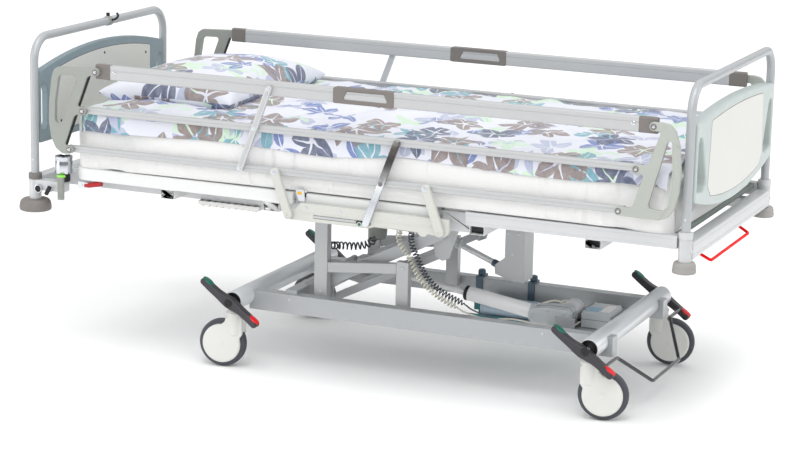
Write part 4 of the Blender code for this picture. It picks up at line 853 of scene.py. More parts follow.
# ---------------------------------------------------------------- lift actuator
m = Vector((0.418, -0.085, 0.212))
tip = Vector((-0.295, -0.085, 0.318))
ld = (tip - m)
LL = ld.length
ld.normalize()
gear = rounded_outline([(m.x - 0.115, m.z - 0.002), (m.x - 0.104, m.z - 0.012), (m.x + 0.004, m.z - 0.0165), (m.x + 0.014, m.z - 0.006), (m.x + 0.014, m.z + 0.030),
                        (m.x + 0.002, m.z + 0.042), (m.x - 0.060, m.z + 0.043), (m.x - 0.104, m.z + 0.036), (m.x - 0.115, m.z + 0.026)], 0.008)
piece("lift_gear_case", prism("y", gear, m.y - 0.034, m.y + 0.034), M["motor"], "lift_motor", "motor_grey", bevel=0.0035, seg=4, stands_for=("lift_actuator_body",))
piece("lift_case_seam", prism("y", offset(gear, 0.0005), m.y - 0.0010, m.y + 0.0010), M["cable_dark"], "lift_motor", "motor_grey", bevel=0.0003, seg=2)
prof = [(0.028, 0), (0.028, 0.0300), (0.036, 0.0320), (0.088, 0.0320), (0.0895, 0.0312), (0.0902, 0.0300), (0.0912, 0.0300), (0.0920, 0.0316), (0.0960, 0.0316), (0.0985, 0.0300), (0.100, 0.0270), (0.100, 0)]
piece("lift_motor_can", lathe(prof, (m.x - 0.012, m.y, m.z + 0.017), (0, 1, 0), 64), M["silver"], "lift_motor", "motor_grey")
piece("lift_outer_tube", ring_tube(m + ld * 0.105, m + ld * 0.332, 0.022, 0.0125, 0.0012, 64), M["act_tube"], "lift_motor", "white_paint")
piece("lift_tube_collar", lathe([(0.104, 0.0125), (0.104, 0.0255), (0.107, 0.0262), (0.118, 0.0262), (0.121, 0.0250), (0.1215, 0.0222), (0.1215, 0.0125), (0.104, 0.0125)], m, ld, 64), M["motor"], "lift_motor", "motor_grey")
piece("lift_wiper", lathe([(0.326, 0.0106), (0.326, 0.0226), (0.329, 0.0232), (0.335, 0.0228), (0.3385, 0.0185), (0.3385, 0.0106), (0.326, 0.0106)], m, ld, 64), M["black"], "lift_motor", "motor_grey")
piece("lift_rod_ground", rod(m + ld * 0.150, m + ld * (LL - 0.016), 0.010, 0.0012, 40), M["rod"], "lift_rod", "chrome", stands_for=("lift_actuator_rod",))
for k, (dx, dz) in enumerate(((-0.104, 0.020), (-0.060, 0.034), (-0.004, 0.032), (0.004, -0.004), (-0.060, -0.004), (-0.104, -0.001))):
    screw("lift_case_screw_%d" % k, (m.x + dx, m.y - 0.034, m.z + dz), (0, -1, 0), "lift_motor", 0.0036, 0.0016)
for k, (p, y) in enumerate((((-0.345, 0.264), 0.177), ((0.032, 0.455), 0.177), ((-0.345, 0.199), 0.143), ((0.032, 0.390), 0.143))):
    body = "arms_upper" if k < 2 else "arms_lower"
    for side, sy in (("near", -1), ("far", 1)):
        piece("arm_pin_%d_%s" % (k, side), lathe([(0, 0), (0, 0.0082), (0.0012, 0.0088), (0.0034, 0.0088), (0.0044, 0.0072), (0.0044, 0.0034), (0.0024, 0.0030), (0.0024, 0)],
              (p[0], sy * (y - 0.0002), p[1]), (0, sy, 0), 32), M["zinc"], body, "chrome")

# cords from the box to the lift motor, and the loops behind it
def cord(name, pts, r, mat, body):
    piece(name, sweep(smooth_path(pts, 90), r, 12), M[mat], body, "motor_grey", smooth=60)


cord("cord_lift_motor", [(0.438, -0.048, 0.212), (0.428, -0.030, 0.204), (0.400, 0.020, 0.200), (0.360, 0.045, 0.205), (0.352, 0.030, 0.232), (0.372, 0.006, 0.250), (0.402, 0.012, 0.246)], 0.0030, "cable_light", "base")
cord("cord_loop_a", [(0.438, -0.022, 0.212), (0.412, -0.008, 0.222), (0.382, 0.036, 0.232), (0.318, 0.064, 0.212), (0.300, 0.068, 0.165), (0.306, 0.070, 0.128), (0.335, 0.068, 0.150), (0.372, 0.060, 0.205), (0.372, 0.075, 0.225)], 0.0032, "cable_light", "base")
cord("cord_loop_b", [(0.438, 0.006, 0.212), (0.400, 0.018, 0.222), (0.330, 0.050, 0.235), (0.260, 0.085, 0.200), (0.235, 0.095, 0.150), (0.290, 0.098, 0.118), (0.352, 0.095, 0.160), (0.380, 0.090, 0.210), (0.380, 0.080, 0.232)], 0.0032, "cable_light", "base")
cord("cord_loop_c", [(0.438, 0.032, 0.212), (0.420, 0.045, 0.214), (0.396, 0.072, 0.206), (0.420, 0.110, 0.200), (0.450, 0.140, 0.199), (0.455, 0.180, 0.199)], 0.0034, "cable_dark", "base")

# ================================================================ upper frame
dress("main_frame", M["frame_main"], 0.0018, 3)
dress("seat_section", M["white"], 0.0016, 2)
dress("back_section", M["white"], 0.0022, 3)
dress("thigh_section", M["white"], 0.0016, 2)
dress("calf_section", finish_mat("platform_grey_green", srgb(0.46, 0.50, 0.48), 0.5, 0.1), 0.0022, 3)


def end_group(tag, x, half, sock, beam_z, bump_mat, bump):
    piece(tag + "_cross_beam", box(x - 0.0200, x + 0.0205, -half + 0.012, half - 0.012, *beam_z), M["frame_main"], "upper_frame", "silver_paint", bevel=0.0040, seg=4,
          stands_for=(tag + "_beam",))
    for side, sy in (("near", -1), ("far", 1)):
        p = (x, sy * half, 0)
        z0, z1 = sock
        prof = [(z0, 0), (z0, 0.0190), (z1 - 0.0020, 0.0190), (z1 - 0.0004, 0.0182), (z1, 0.0168), (z1, 0.0134), (z0 + 0.0202, 0.0134), (z0 + 0.0202, 0)]
        piece("%s_socket_%s" % (tag, side), lathe(prof, p, (0, 0, 1), 72), M["silver"], "upper_frame", "silver_paint")
        prof = [(z1 - 0.0180, 0.0188), (z1 - 0.0180, 0.0200), (z1 - 0.0170, 0.0206), (z1 - 0.0020, 0.0206), (z1, 0.0198), (z1 + 0.0012, 0.0170), (z1 + 0.0012, 0.0135), (z1 - 0.0002, 0.0135), (z1 - 0.0002, 0.0188), (z1 - 0.0180, 0.0188)]
        piece("%s_collar_%s" % (tag, side), lathe(prof, p, (0, 0, 1), 72), M["taupe"] if tag == "head" else M["frame_main"], "upper_frame", "grey_plastic")
        piece("%s_bumper_%s" % (tag, side), lathe([(z0 + a, r) for a, r in bump], p, (0, 0, 1), 80), bump_mat, "upper_frame", "grey_plastic", smooth=42)
        screw("%s_socket_screw_%s" % (tag, side), (x + (0.0190 if tag == "foot" else -0.0190), sy * half, (beam_z[0] + beam_z[1]) / 2), (1 if tag == "foot" else -1, 0, 0), "upper_frame", 0.0050)


BUMP_HEAD = [(-0.038, 0), (-0.038, 0.0440), (-0.0370, 0.0470), (-0.0340, 0.0493), (-0.0300, 0.0500), (-0.0240, 0.0497), (-0.0150, 0.0482), (-0.0090, 0.0460), (-0.0045, 0.0425),
             (-0.0020, 0.0380), (-0.0010, 0.0320), (-0.0004, 0.0240), (0.0, 0.0205), (0.0, 0)]
BUMP_FOOT = [(-0.034, 0), (-0.034, 0.0300), (-0.0330, 0.0328), (-0.0300, 0.0340), (-0.0240, 0.0339), (-0.0210, 0.0333), (-0.0196, 0.0322), (-0.0186, 0.0322), (-0.0160, 0.0330), (-0.0090, 0.0318), (-0.0045, 0.0300),
             (-0.0020, 0.0275), (-0.0008, 0.0235), (0.0, 0.0205), (0.0, 0)]
M["bump_dark"] = finish_mat("bumper_warm_grey", srgb(0.475, 0.455, 0.44), 0.52, 0.0, 0.0, 0.04, grain=700.0, grain_h=0.00014, edge_wear_highlight=srgb(0.7, 0.68, 0.66))
M["bump_pale"] = finish_mat("bumper_pale_grey", srgb(0.60, 0.59, 0.575), 0.52, 0.0, 0.0, 0.04, grain=700.0, grain_h=0.00014, edge_wear_highlight=srgb(0.8, 0.79, 0.77))
end_group("head", -1.236, 0.408, (0.477, 0.556), (0.503, 0.548), M["bump_dark"], BUMP_HEAD)
end_group("foot", 0.864, 0.414, (0.521, 0.603), (0.523, 0.574), M["bump_pale"], BUMP_FOOT)

for side, s in (("near", -1), ("far", 1)):
    y0, y1 = sorted((s * 0.386, s * 0.424))
    piece("pole_bracket_" + side, box(-1.2300, -1.1250, y0, y1, 0.5060, 0.5380), M["silver"], "upper_frame", "silver_paint", bevel=0.0030, seg=3)
    c = (-1.1345, s * 0.405, 0)
    prof = [(0.5660, 0.0262), (0.5660, 0.0270), (0.5680, 0.0275), (0.6030, 0.0275), (0.6045, 0.0269), (0.6080, 0.0269), (0.6095, 0.0275), (0.6175, 0.0275), (0.6195, 0.0262), (0.6198, 0.0212), (0.6180, 0.0198),
            (0.6120, 0.0198), (0.6120, 0.0262), (0.5660, 0.0262)]
    piece("pole_cup_" + side, lathe(prof, c, (0, 0, 1), 72), M["chrome"], "upper_frame", "silver_paint", smooth=30)
    piece("pole_cup_lining_" + side, lathe([(0.5405, 0), (0.5405, 0.0192), (0.6120, 0.0192), (0.6120, 0.0197), (0.5402, 0.0197), (0.5402, 0)], c, (0, 0, 1), 48), M["black"], "upper_frame", "grey_plastic")
    # upright latch post beside the cup, with an oval release button
    piece("latch_post_" + side, prism("z", rounded_outline([(-1.1335, s * 0.4325), (-1.1145, s * 0.4325), (-1.1145, s * 0.4500), (-1.1335, s * 0.4500)], 0.005), 0.4880, 0.5600), M["end_plastic"], "upper_frame", "grey_plastic", bevel=0.0018, seg=3)
    for k in range(4):
        piece("latch_rib_%d_%s" % (k, side), rod((-1.1296 + 0.0037 * k, s * 0.4500, 0.4940), (-1.1296 + 0.0037 * k, s * 0.4500, 0.5540), 0.0013, 0.0005, 12), M["end_plastic"], "upper_frame", "grey_plastic")
    me = lathe([(0, 0), (0, 1.0), (0.0030, 1.0), (0.0046, 0.90), (0.0052, 0.6), (0.0054, 0)], (0, 0, 0), (0, 0, 1), 40)
    me.transform(Matrix(((0.0150, 0, 0, -1.1240), (0, 0.0110, 0, s * 0.4400), (0, 0, 1, 0.5600), (0, 0, 0, 1))))
    piece("latch_button_" + side, me, M["lime"], "upper_frame", "grey_plastic")
    piece("pole_lock_stem_" + side, rod((-1.169, s * 0.4235, 0.510), (-1.169, s * 0.434, 0.510), 0.0050), M["zinc"], "upper_frame", "chrome")
    piece("pole_lock_knob_" + side, rod((-1.180, s * 0.4375, 0.498), (-1.166, s * 0.4375, 0.524), 0.0068, 0.002), M["black"], "upper_frame", "grey_plastic")
    piece("bracket_tube_" + side, ring_tube((-1.2115, s * 0.4238, 0.512), (-1.2115, s * 0.4335, 0.512), 0.0130, 0.0105, 0.0008), M["chrome"], "upper_frame", "chrome")
    piece("bracket_tube_dark_" + side, lathe([(0, 0), (0, 0.0106), (0.004, 0.0106), (0.004, 0)], (-1.2115, s * 0.4238, 0.512), (0, s, 0), 32), M["black"], "upper_frame", "grey_plastic")

# plugs in the open frame stubs, rivets on the hanging channel, bolts in the frame
for side, s in (("near", -1), ("far", 1)):
    for k, (x0, x1) in enumerate(((0.2285, 0.2685), (0.5795, 0.6205))):
        y0, y1 = sorted((s * 0.4170, s * 0.4180))
        piece("stub_plug_%d_%s" % (k, side), box(x0 + 0.0003, x1 - 0.0003, y0, y1, 0.5318, 0.5527), M["black"], "upper_frame", "grey_plastic", bevel=0.0003, seg=2)
    for k, xx in enumerate((-0.9, -0.55, -0.2, 0.30, 0.52, 0.76)):
        screw("beam_bolt_%d_%s" % (k, side), (xx, s * (0.320 if xx < 0 else 0.318), 0.532 if xx < 0 else 0.551), (0, s, 0), "upper_frame", 0.0055)
    for k, (xx, zz) in enumerate(((0.200, 0.52), (0.232, 0.52), (0.200, 0.45), (0.232, 0.45), (0.215, 0.385))):
        piece("channel_rivet_%d_%s" % (k, side), lathe([(-0.0005, 0), (-0.0005, 0.0042), (0.0006, 0.0038), (0.0014, 0.0024), (0.0017, 0)], (xx, s * 0.040, zz), (0, s, 0), 20), M["zinc"], "upper_frame", "chrome")
    for k, (xx, zz) in enumerate(((-0.3435, 0.24), (-0.3435, 0.50), (-0.073, 0.345), (-0.073, 0.215))):
        screw("post_bolt_%d_%s" % (k, side), (xx, s * (0.215 if k < 2 else 0.213), zz), (0, s, 0), "upper_frame", 0.0050)
    piece("plate_eye_" + side, ring_tube((0.150, s * 0.3984, 0.552), (0.150, s * 0.3998, 0.552), 0.0085, 0.0052, 0.0004, 40), M["zinc"], "upper_frame", "chrome")
    y0, y1 = sorted((s * 0.372, s * 0.3802))
# raised beads along the extruded rims and the foot beam
for side, s in (("near", -1), ("far", 1)):
    for k, zz in enumerate((0.5630, 0.5830)):
        y0, y1 = sorted((s * 0.4296, s * 0.4309))
        piece("rim_bead_%d_%s" % (k, side), box(0.2140, 0.8420, y0, y1, zz - 0.0012, zz + 0.0012), M["frame_main"], "upper_frame", "silver_paint", bevel=0.0004, seg=2)
for k, zz in enumerate((0.5350, 0.5620)):
    piece("foot_beam_bead_%d" % k, box(0.8841, 0.8855, -0.392, 0.392, zz - 0.0012, zz + 0.0012), M["frame_main"], "upper_frame", "silver_paint", bevel=0.0004, seg=2)
# ribbed slab of the head-side platform carrier
for k in range(9):
    piece("slab_rib_%d" % k, box(-0.70 + k * 0.0225, -0.686 + k * 0.0225, -0.335, -0.258, 0.4945, 0.5112), M["label_pale"], "upper_frame", "white_paint", bevel=0.0020, seg=3)
piece("slab_plate", box(-0.704, -0.496, -0.334, -0.259, 0.4990, 0.5112), M["label_pale"], "upper_frame", "white_paint", bevel=0.0015)

# ---------------------------------------------------------------- back actuator
p = Vector((0.168, 0, 0.333))
lev = Vector((-0.262, 0, 0.500))
bd = (lev - p)
BL = bd.length
bd.normalize()
bn = Vector((bd.z, 0, -bd.x)) * (-1 if bd.x > 0 else 1)
if bn.z > 0:
    bn = -bn


def at(a, h):
    q = p + bd * a - bn * h
    return (q.x, q.z)


piece("back_rod_ground", rod(p + bd * 0.012, p + bd * 0.300, 0.0092, 0.001, 40), M["rod"], "back_rod", "aluminium", stands_for=("back_actuator_rod",))
piece("back_rod_eye", lathe([(-0.010, 0), (-0.010, 0.0105), (-0.0085, 0.0118), (0.0085, 0.0118), (0.010, 0.0105), (0.010, 0)], p, (0, 1, 0), 40), M["hook"], "back_rod", "aluminium")
piece("back_rod_fitting", lathe([(0.010, 0), (0.010, 0.0110), (0.013, 0.0125), (0.030, 0.0125), (0.034, 0.0100), (0.034, 0)], p, bd, 6), M["hook"], "back_rod", "aluminium", smooth=25)
piece("back_outer_tube", ring_tube(p + bd * 0.150, p + bd * 0.338, 0.0165, 0.0095, 0.001, 56), M["motor"], "back_motor", "motor_grey", stands_for=("back_actuator_body",))
gp = rounded_outline([at(0.335, -0.020), at(0.440, -0.020), at(0.440, 0.012), at(0.425, 0.022), at(0.350, 0.022), at(0.335, 0.012)], 0.006)
piece("back_gear_case", prism("y", gp, -0.0205, 0.030), M["motor_pot"], "back_motor", "motor_grey", bevel=0.003, seg=4)
c = p + bd * 0.432
prof = [(0.3820, 0), (0.3820, 0.0215), (0.3830, 0.0240), (0.3865, 0.0264), (0.3940, 0.0284), (0.4040, 0.0296), (0.4160, 0.0300), (0.4480, 0.0300), (0.4488, 0.0292), (0.4502, 0.0292), (0.4510, 0.0300), (0.4640, 0.0300), (0.4680, 0.0285),
        (0.4700, 0.0250), (0.4700, 0)]
piece("back_motor_pot", lathe(prof, (c.x, -0.0325, 0), (0, 0, 1), 72), M["motor_pot"], "back_motor", "motor_grey", smooth=40)
screw("back_pot_screw", (c.x + 0.012, -0.0325 - 0.0270, 0.458), (0.4, -0.92, 0), "back_motor", 0.003, 0.001)
piece("pot_cap", lathe([(0, 0), (0, 0.0105), (0.002, 0.0098), (0.0035, 0.006), (0.0038, 0)], (c.x + 0.008, -0.0325, 0.4698), (0, 0, 1), 32), M["green"], "back_motor", "motor_grey")
# coiled cords: post to motor, and channel down to the box
piece("coil_dark", coil([(-0.345, -0.150, 0.372), (-0.330, -0.110, 0.366), (-0.285, -0.075, 0.362), (-0.250, -0.060, 0.372), (-0.232, -0.062, 0.395)], 0.0105, 0.0026, 13), M["cable_dark"], "upper_frame", "motor_grey", smooth=80)
cord("coil_dark_lead", [(-0.345, -0.184, 0.384), (-0.347, -0.168, 0.378), (-0.345, -0.150, 0.372)], 0.0026, "cable_dark", "upper_frame")
piece("coil_pale", coil([(-0.110, -0.125, 0.490), (-0.095, -0.190, 0.430), (-0.058, -0.195, 0.378), (-0.022, -0.195, 0.318), (0.030, -0.190, 0.272), (0.100, -0.175, 0.232)], 0.0082, 0.0022, 34), M["cable_light"], "base", "motor_grey", smooth=80)
cord("cord_dark_lead", [(0.120, -0.170, 0.245), (0.140, -0.166, 0.232), (0.200, -0.155, 0.212), (0.290, -0.145, 0.203), (0.380, -0.135, 0.199), (0.432, -0.080, 0.202), (0.446, -0.024, 0.208)], 0.0024, "cable_dark", "base")
cord("cord_pale_lead", [(0.100, -0.175, 0.232), (0.120, -0.170, 0.222), (0.180, -0.150, 0.205), (0.260, -0.140, 0.212), (0.340, -0.135, 0.205), (0.420, -0.110, 0.198), (0.446, -0.050, 0.208)], 0.0028, "cable_light", "base")
piece("coil_graphite", coil([(-0.075, -0.125, 0.490), (-0.055, -0.190, 0.430), (-0.030, -0.195, 0.375), (0.002, -0.195, 0.322), (0.050, -0.190, 0.282), (0.120, -0.170, 0.245)], 0.0078, 0.0020, 34), M["cable_dark"], "base", "motor_grey", smooth=80)

# ---------------------------------------------------------------- levers in red
piece("cpr_shaft", rod((-1.062, -0.330, 0.5380), (-1.062, -0.424, 0.5380), 0.006), M["zinc"], "cpr", "red_paint", stands_for=("cpr_lever",))
piece("cpr_plate", prism("y", rounded_outline([(-1.076, 0.526), (-1.040, 0.530), (-1.036, 0.546), (-1.074, 0.550)], 0.005), -0.4235, -0.4195), M["chrome"], "cpr", "red_paint", bevel=0.0008)
grip = [(-1.052, -0.4170, 0.5370), (-1.036, -0.4175, 0.5390), (-1.012, -0.418, 0.5440), (-0.992, -0.418, 0.5490)]
piece("cpr_grip", sweep(smooth_path(grip, 64), lambda f: 0.0088 * (1 - 0.10 * (0.5 + 0.5 * math.cos(f * 2 * PI * 11))) * (0.72 if f < 0.02 or f > 0.98 else 1), 28), finish_mat("grip_dark_red", srgb(0.66, 0.07, 0.11), 0.45), "cpr", "red_paint", smooth=70)
y = 0.205
path = fillet([(0.8300, -y, 0.5050), (0.8790, -y + 0.006, 0.4790), (0.8790, y - 0.006, 0.4790), (0.8300, y, 0.5050)], 0.010, 10)
piece("foot_release_rod", sweep(path, 0.0045, 24), M["red_rod"], "foot_release", "red_paint", stands_for=("foot_release_bar",), smooth=60)
for side, s in (("near", -1), ("far", 1)):
    piece("foot_release_hook_" + side, rod((0.8300, s * (y - 0.004), 0.5050), (0.8300, s * (y + 0.020), 0.5060), 0.0042, 0.001, 24), M["red_rod"], "foot_release", "red_paint")

for nm, s0, e0 in (("coil_pale", (0.100, -0.175, 0.232), (-0.100, -0.145, 0.470)), ("coil_graphite", (0.120, -0.170, 0.245), (-0.070, -0.145, 0.470))):
    o = bpy.data.objects[nm]
    o.parent = None
    del o["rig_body"]
    o.matrix_world = Matrix.Identity(4)
    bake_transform(o)

# ================================================================ end boards
def board_path(x, half, bottom, top):
    return fillet([(x, -half, bottom), (x, -half, top), (x, half, top), (x, half, bottom)], 0.072, 24)


def curve_fn(half, z_mid, z_end):
    return lambda y: z_mid + (z_end - z_mid) * (y / half) ** 2


def outline_between(lo, hi, y0, y1, n=40):
    up = [(y1 + (y0 - y1) * k / n, hi(y1 + (y0 - y1) * k / n)) for k in range(n + 1)]
    dn = [(y0 + (y1 - y0) * k / n, lo(y0 + (y1 - y0) * k / n)) for k in range(n + 1)]
    return up + dn


def rect_round(lo, hi, half, r, n=36):
    """Inset panel outline: arched top, bottom edge, rounded corners."""
    pts = outline_between(lo, hi, -half, half, n)
    return rounded_outline(pts, r, 8)


piece("headboard_hoop", sweep(board_path(-1.236, 0.408, 0.4975, 0.977), 0.013, 48), M["hoop"], "headboard", "silver_paint", stands_for=("headboard_tube",), smooth=60)
piece("footboard_hoop", sweep(board_path(0.864, 0.414, 0.5415, 1.010), 0.013, 48), M["hoop"], "footboard", "silver_paint", stands_for=("footboard_tube",), smooth=60)

half = 0.3938
hi = curve_fn(half, 0.922, 0.872)
hole = rounded_outline([(0.384, 0.690), (0.384, 0.820), (0.372, 0.833), (0.356, 0.826), (0.349, 0.800), (0.349, 0.705), (0.360, 0.690)], 0.006)
shell = rounded_outline(outline_between(lambda y: 0.648, hi, -half, half), 0.022, 6)
piece("headboard_frame", prism("x", shell, -1.236 - 0.011, -1.236 + 0.011, [hole, [(-a, b) for a, b in hole]]), M["blue_grey"], "headboard", "blue_grey_plastic",
      bevel=0.0036, seg=4, stands_for=("headboard_panel",))
ins = rect_round(lambda y: 0.672, lambda y: hi(y) - 0.026, 0.300, 0.020)
piece("headboard_inset", prism("x", ins, -1.236 - 0.0118, -1.236 + 0.0118), M["laminate"], "headboard", "blue_grey_plastic", bevel=0.0006, seg=2)
piece("headboard_seam", prism("x", offset(ins, 0.0018), -1.236 - 0.01118, -1.236 + 0.01118), M["cable_dark"], "headboard", "blue_grey_plastic")
for k, (yy, zz) in enumerate(((-0.27, 0.70), (0.27, 0.70), (-0.27, 0.846), (0.27, 0.846), (0.0, 0.690), (0.0, 0.880))):
    for q, s in enumerate((-1, 1)):
        screw("headboard_screw_%d_%d" % (k, q), (-1.236 + s * 0.0118, yy, zz), (s, 0, 0), "headboard", 0.0044, 0.0014, "black")
# clip with a thumb screw on the hoop
piece("clip_band", ring_tube((-1.236, 0.033, 0.977), (-1.236, 0.053, 0.977), 0.0158, 0.0131, 0.0008, 48), M["end_plastic"], "headboard", "grey_plastic")
piece("clip_hook", sweep(smooth_path([(-1.222, 0.043, 0.980), (-1.208, 0.043, 0.985), (-1.199, 0.043, 0.995), (-1.203, 0.043, 1.0052)], 24), 0.0036, 14), M["black"], "headboard", "grey_plastic")
piece("clip_thumb", lathe([(0, 0), (0, 0.0055), (0.006, 0.0062), (0.010, 0.0058), (0.0112, 0)], (-1.236, 0.043, 0.9925), (0, 0, 1), 24), M["black"], "headboard", "grey_plastic")

half = 0.3998
hi = curve_fn(half, 0.929, 0.906)
lo = curve_fn(half, 0.629, 0.684)
hole = rounded_outline([(0.388, 0.712), (0.388, 0.848), (0.376, 0.862), (0.356, 0.862), (0.342, 0.845), (0.300, 0.735), (0.303, 0.716), (0.320, 0.704)], 0.008)
shell = rounded_outline(outline_between(lo, hi, -half, half), 0.024, 6)
piece("footboard_frame", prism("x", shell, 0.864 - 0.016, 0.864 + 0.018, [hole, [(-a, b) for a, b in hole]]), M["pale_frame"], "footboard", "pale_grey_plastic",
      bevel=0.0058, seg=5, stands_for=("footboard_panel",))
# inset panel follows the frame's arch and tapers towards its foot
ins = rounded_outline([(0.268 * 1.0, hi(0.268) - 0.024)] + [(0.268 - 0.536 * k / 24, hi(0.268 - 0.536 * k / 24) - 0.024) for k in range(1, 24)] + [(-0.268, hi(0.268) - 0.024)]
                      + [(-0.284, lo(0.284) + 0.055)] + [(-0.252 + 0.504 * k / 24, lo(-0.252 + 0.504 * k / 24) + 0.028) for k in range(0, 25)] + [(0.284, lo(0.284) + 0.055)], 0.016, 6)
M["laminate_foot"] = finish_mat("board_laminate_warm", srgb(0.835, 0.836, 0.818), 0.45, 0.0, 0.0, 0.010, grain=420.0, grain_h=0.00002, spec=0.3, rvar=0.3)
piece("footboard_inset", prism("x", ins, 0.864 - 0.0168, 0.864 + 0.0189), M["laminate_foot"], "footboard", "pale_grey_plastic", bevel=0.0007, seg=2)
piece("footboard_seam", prism("x", offset(ins, 0.0018), 0.864 - 0.01618, 0.864 + 0.01818), M["taupe"], "footboard", "pale_grey_plastic")
for side, s in (("near", -1), ("far", 1)):
    screw("footboard_post_screw_" + side, (0.864, s * 0.4268, 0.640), (0, s, 0), "footboard", 0.0040, 0.0014)
    screw("headboard_post_screw_" + side, (-1.236, s * 0.4208, 0.600), (0, s, 0), "headboard", 0.0040, 0.0014)

# ================================================================ side rails
RZ = (0.532, 0.655, 0.778, 0.901)
LEAN = 0.0458


def bar_mesh(x0, x1, z, h):
    """Extruded bar: softly rounded section with a shallow groove on both faces."""
    r = min(0.0046, h * 0.42)
    zg, g = (h * 0.30, 0.0011) if h > 0.015 else (h * 0.12, 0.0009)
    y0, y1 = -0.458, -0.438
    face = [(-h + r), zg - 0.0016, zg - 0.0008, zg + 0.0008, zg + 0.0016, (h - r)]
    dep = [0, 0, g, g, 0, 0]
    pts = [(y0 + d, z + f) for f, d in zip(face, dep)]
    pts += arc(y0 + r, z + h - r, r, 180, 90, 6)[1:] + arc(y1 - r, z + h - r, r, 90, 0, 6)
    pts += [(y1 - d, z + f) for f, d in zip(face[::-1], dep[::-1])][1:-1]
    pts += arc(y1 - r, z - h + r, r, 0, -90, 6) + arc(y0 + r, z - h + r, r, -90, -180, 6)[:-1]
    return prism("x", pts, x0, x1)


def cap_mesh(x0, x1, z, h, e=0.0006):
    r = 0.0052
    pts = rounded_outline([(-0.458 - e, z - h - e), (-0.438 + e, z - h - e), (-0.438 + e, z + h + e), (-0.458 - e, z + h + e)], r, 6)
    return prism("x", pts, x0, x1)


def ear(cx, cz, a0, a1, r=0.0126):
    return arc(cx, cz, r, a0, a1, 12)


def lx(x0, k):
    return x0 + LEAN * k


EH, EF = -1.0754, 0.6830
ph = [(lx(EH, k), RZ[1 + k]) for k in range(3)]
pf = [(lx(EF, k), RZ[1 + k]) for k in range(3)]
head_out = [(-1.112, 0.9085)] + [(ph[2][0] - 0.006, ph[2][1] + 0.0126)] + ear(*ph[2], 90, -90) + [(ph[2][0] - 0.0260, ph[2][1] - 0.0126), (ph[1][0] - 0.0168, ph[1][1] + 0.0126)] \
    + ear(*ph[1], 90, -90) + [(ph[1][0] - 0.0265, ph[1][1] - 0.0126), (ph[0][0] - 0.0160, ph[0][1] + 0.0126)] + ear(*ph[0], 90, -90) \
    + [(-1.100, 0.6405), (-1.1235, 0.6565), (-1.140, 0.690), (-1.147, 0.740), (-1.1455, 0.800), (-1.137, 0.872), (-1.128, 0.898)]
head_hole = rounded_outline([(-1.103, 0.8840), (-1.055, 0.8855), (-1.050, 0.8780), (-1.0990, 0.7420), (-1.106, 0.7330), (-1.120, 0.7330), (-1.1250, 0.7450), (-1.1240, 0.800), (-1.112, 0.8760)], 0.009, 8)
foot_out = [(0.800, 0.9136)] + ear(*pf[2], 90, 270) + [(pf[2][0] + 0.0220, pf[2][1] - 0.0126), (pf[1][0] + 0.0340, pf[1][1] + 0.0126)] \
    + ear(*pf[1], 90, 270) + [(pf[1][0] + 0.0240, pf[1][1] - 0.0126), (pf[0][0] + 0.0390, pf[0][1] + 0.0126)] + ear(*pf[0], 90, 270) \
    + [(0.800, 0.6400), (0.826, 0.6500), (0.843, 0.6750), (0.854, 0.7200), (0.857, 0.7870), (0.852, 0.8500), (0.838, 0.8930), (0.820, 0.9100)]
foot_hole = rounded_outline([(0.772, 0.6700), (0.810, 0.6680), (0.825, 0.6820), (0.831, 0.720), (0.834, 0.787), (0.829, 0.862), (0.822, 0.866), (0.815, 0.858), (0.768, 0.6810)], 0.009, 8)
HO, FO = rounded_outline(head_out, 0.018, 8), rounded_outline(foot_out, 0.018, 8)
M["end_foot"] = finish_mat("rail_end_plastic_pale", srgb(0.655, 0.67, 0.645), 0.42, 0.0, 0.0, 0.025, grain=1100.0, grain_h=0.00008, edge_wear_highlight=srgb(0.85, 0.85, 0.83), edge_wear_highlight_amt=0.25)

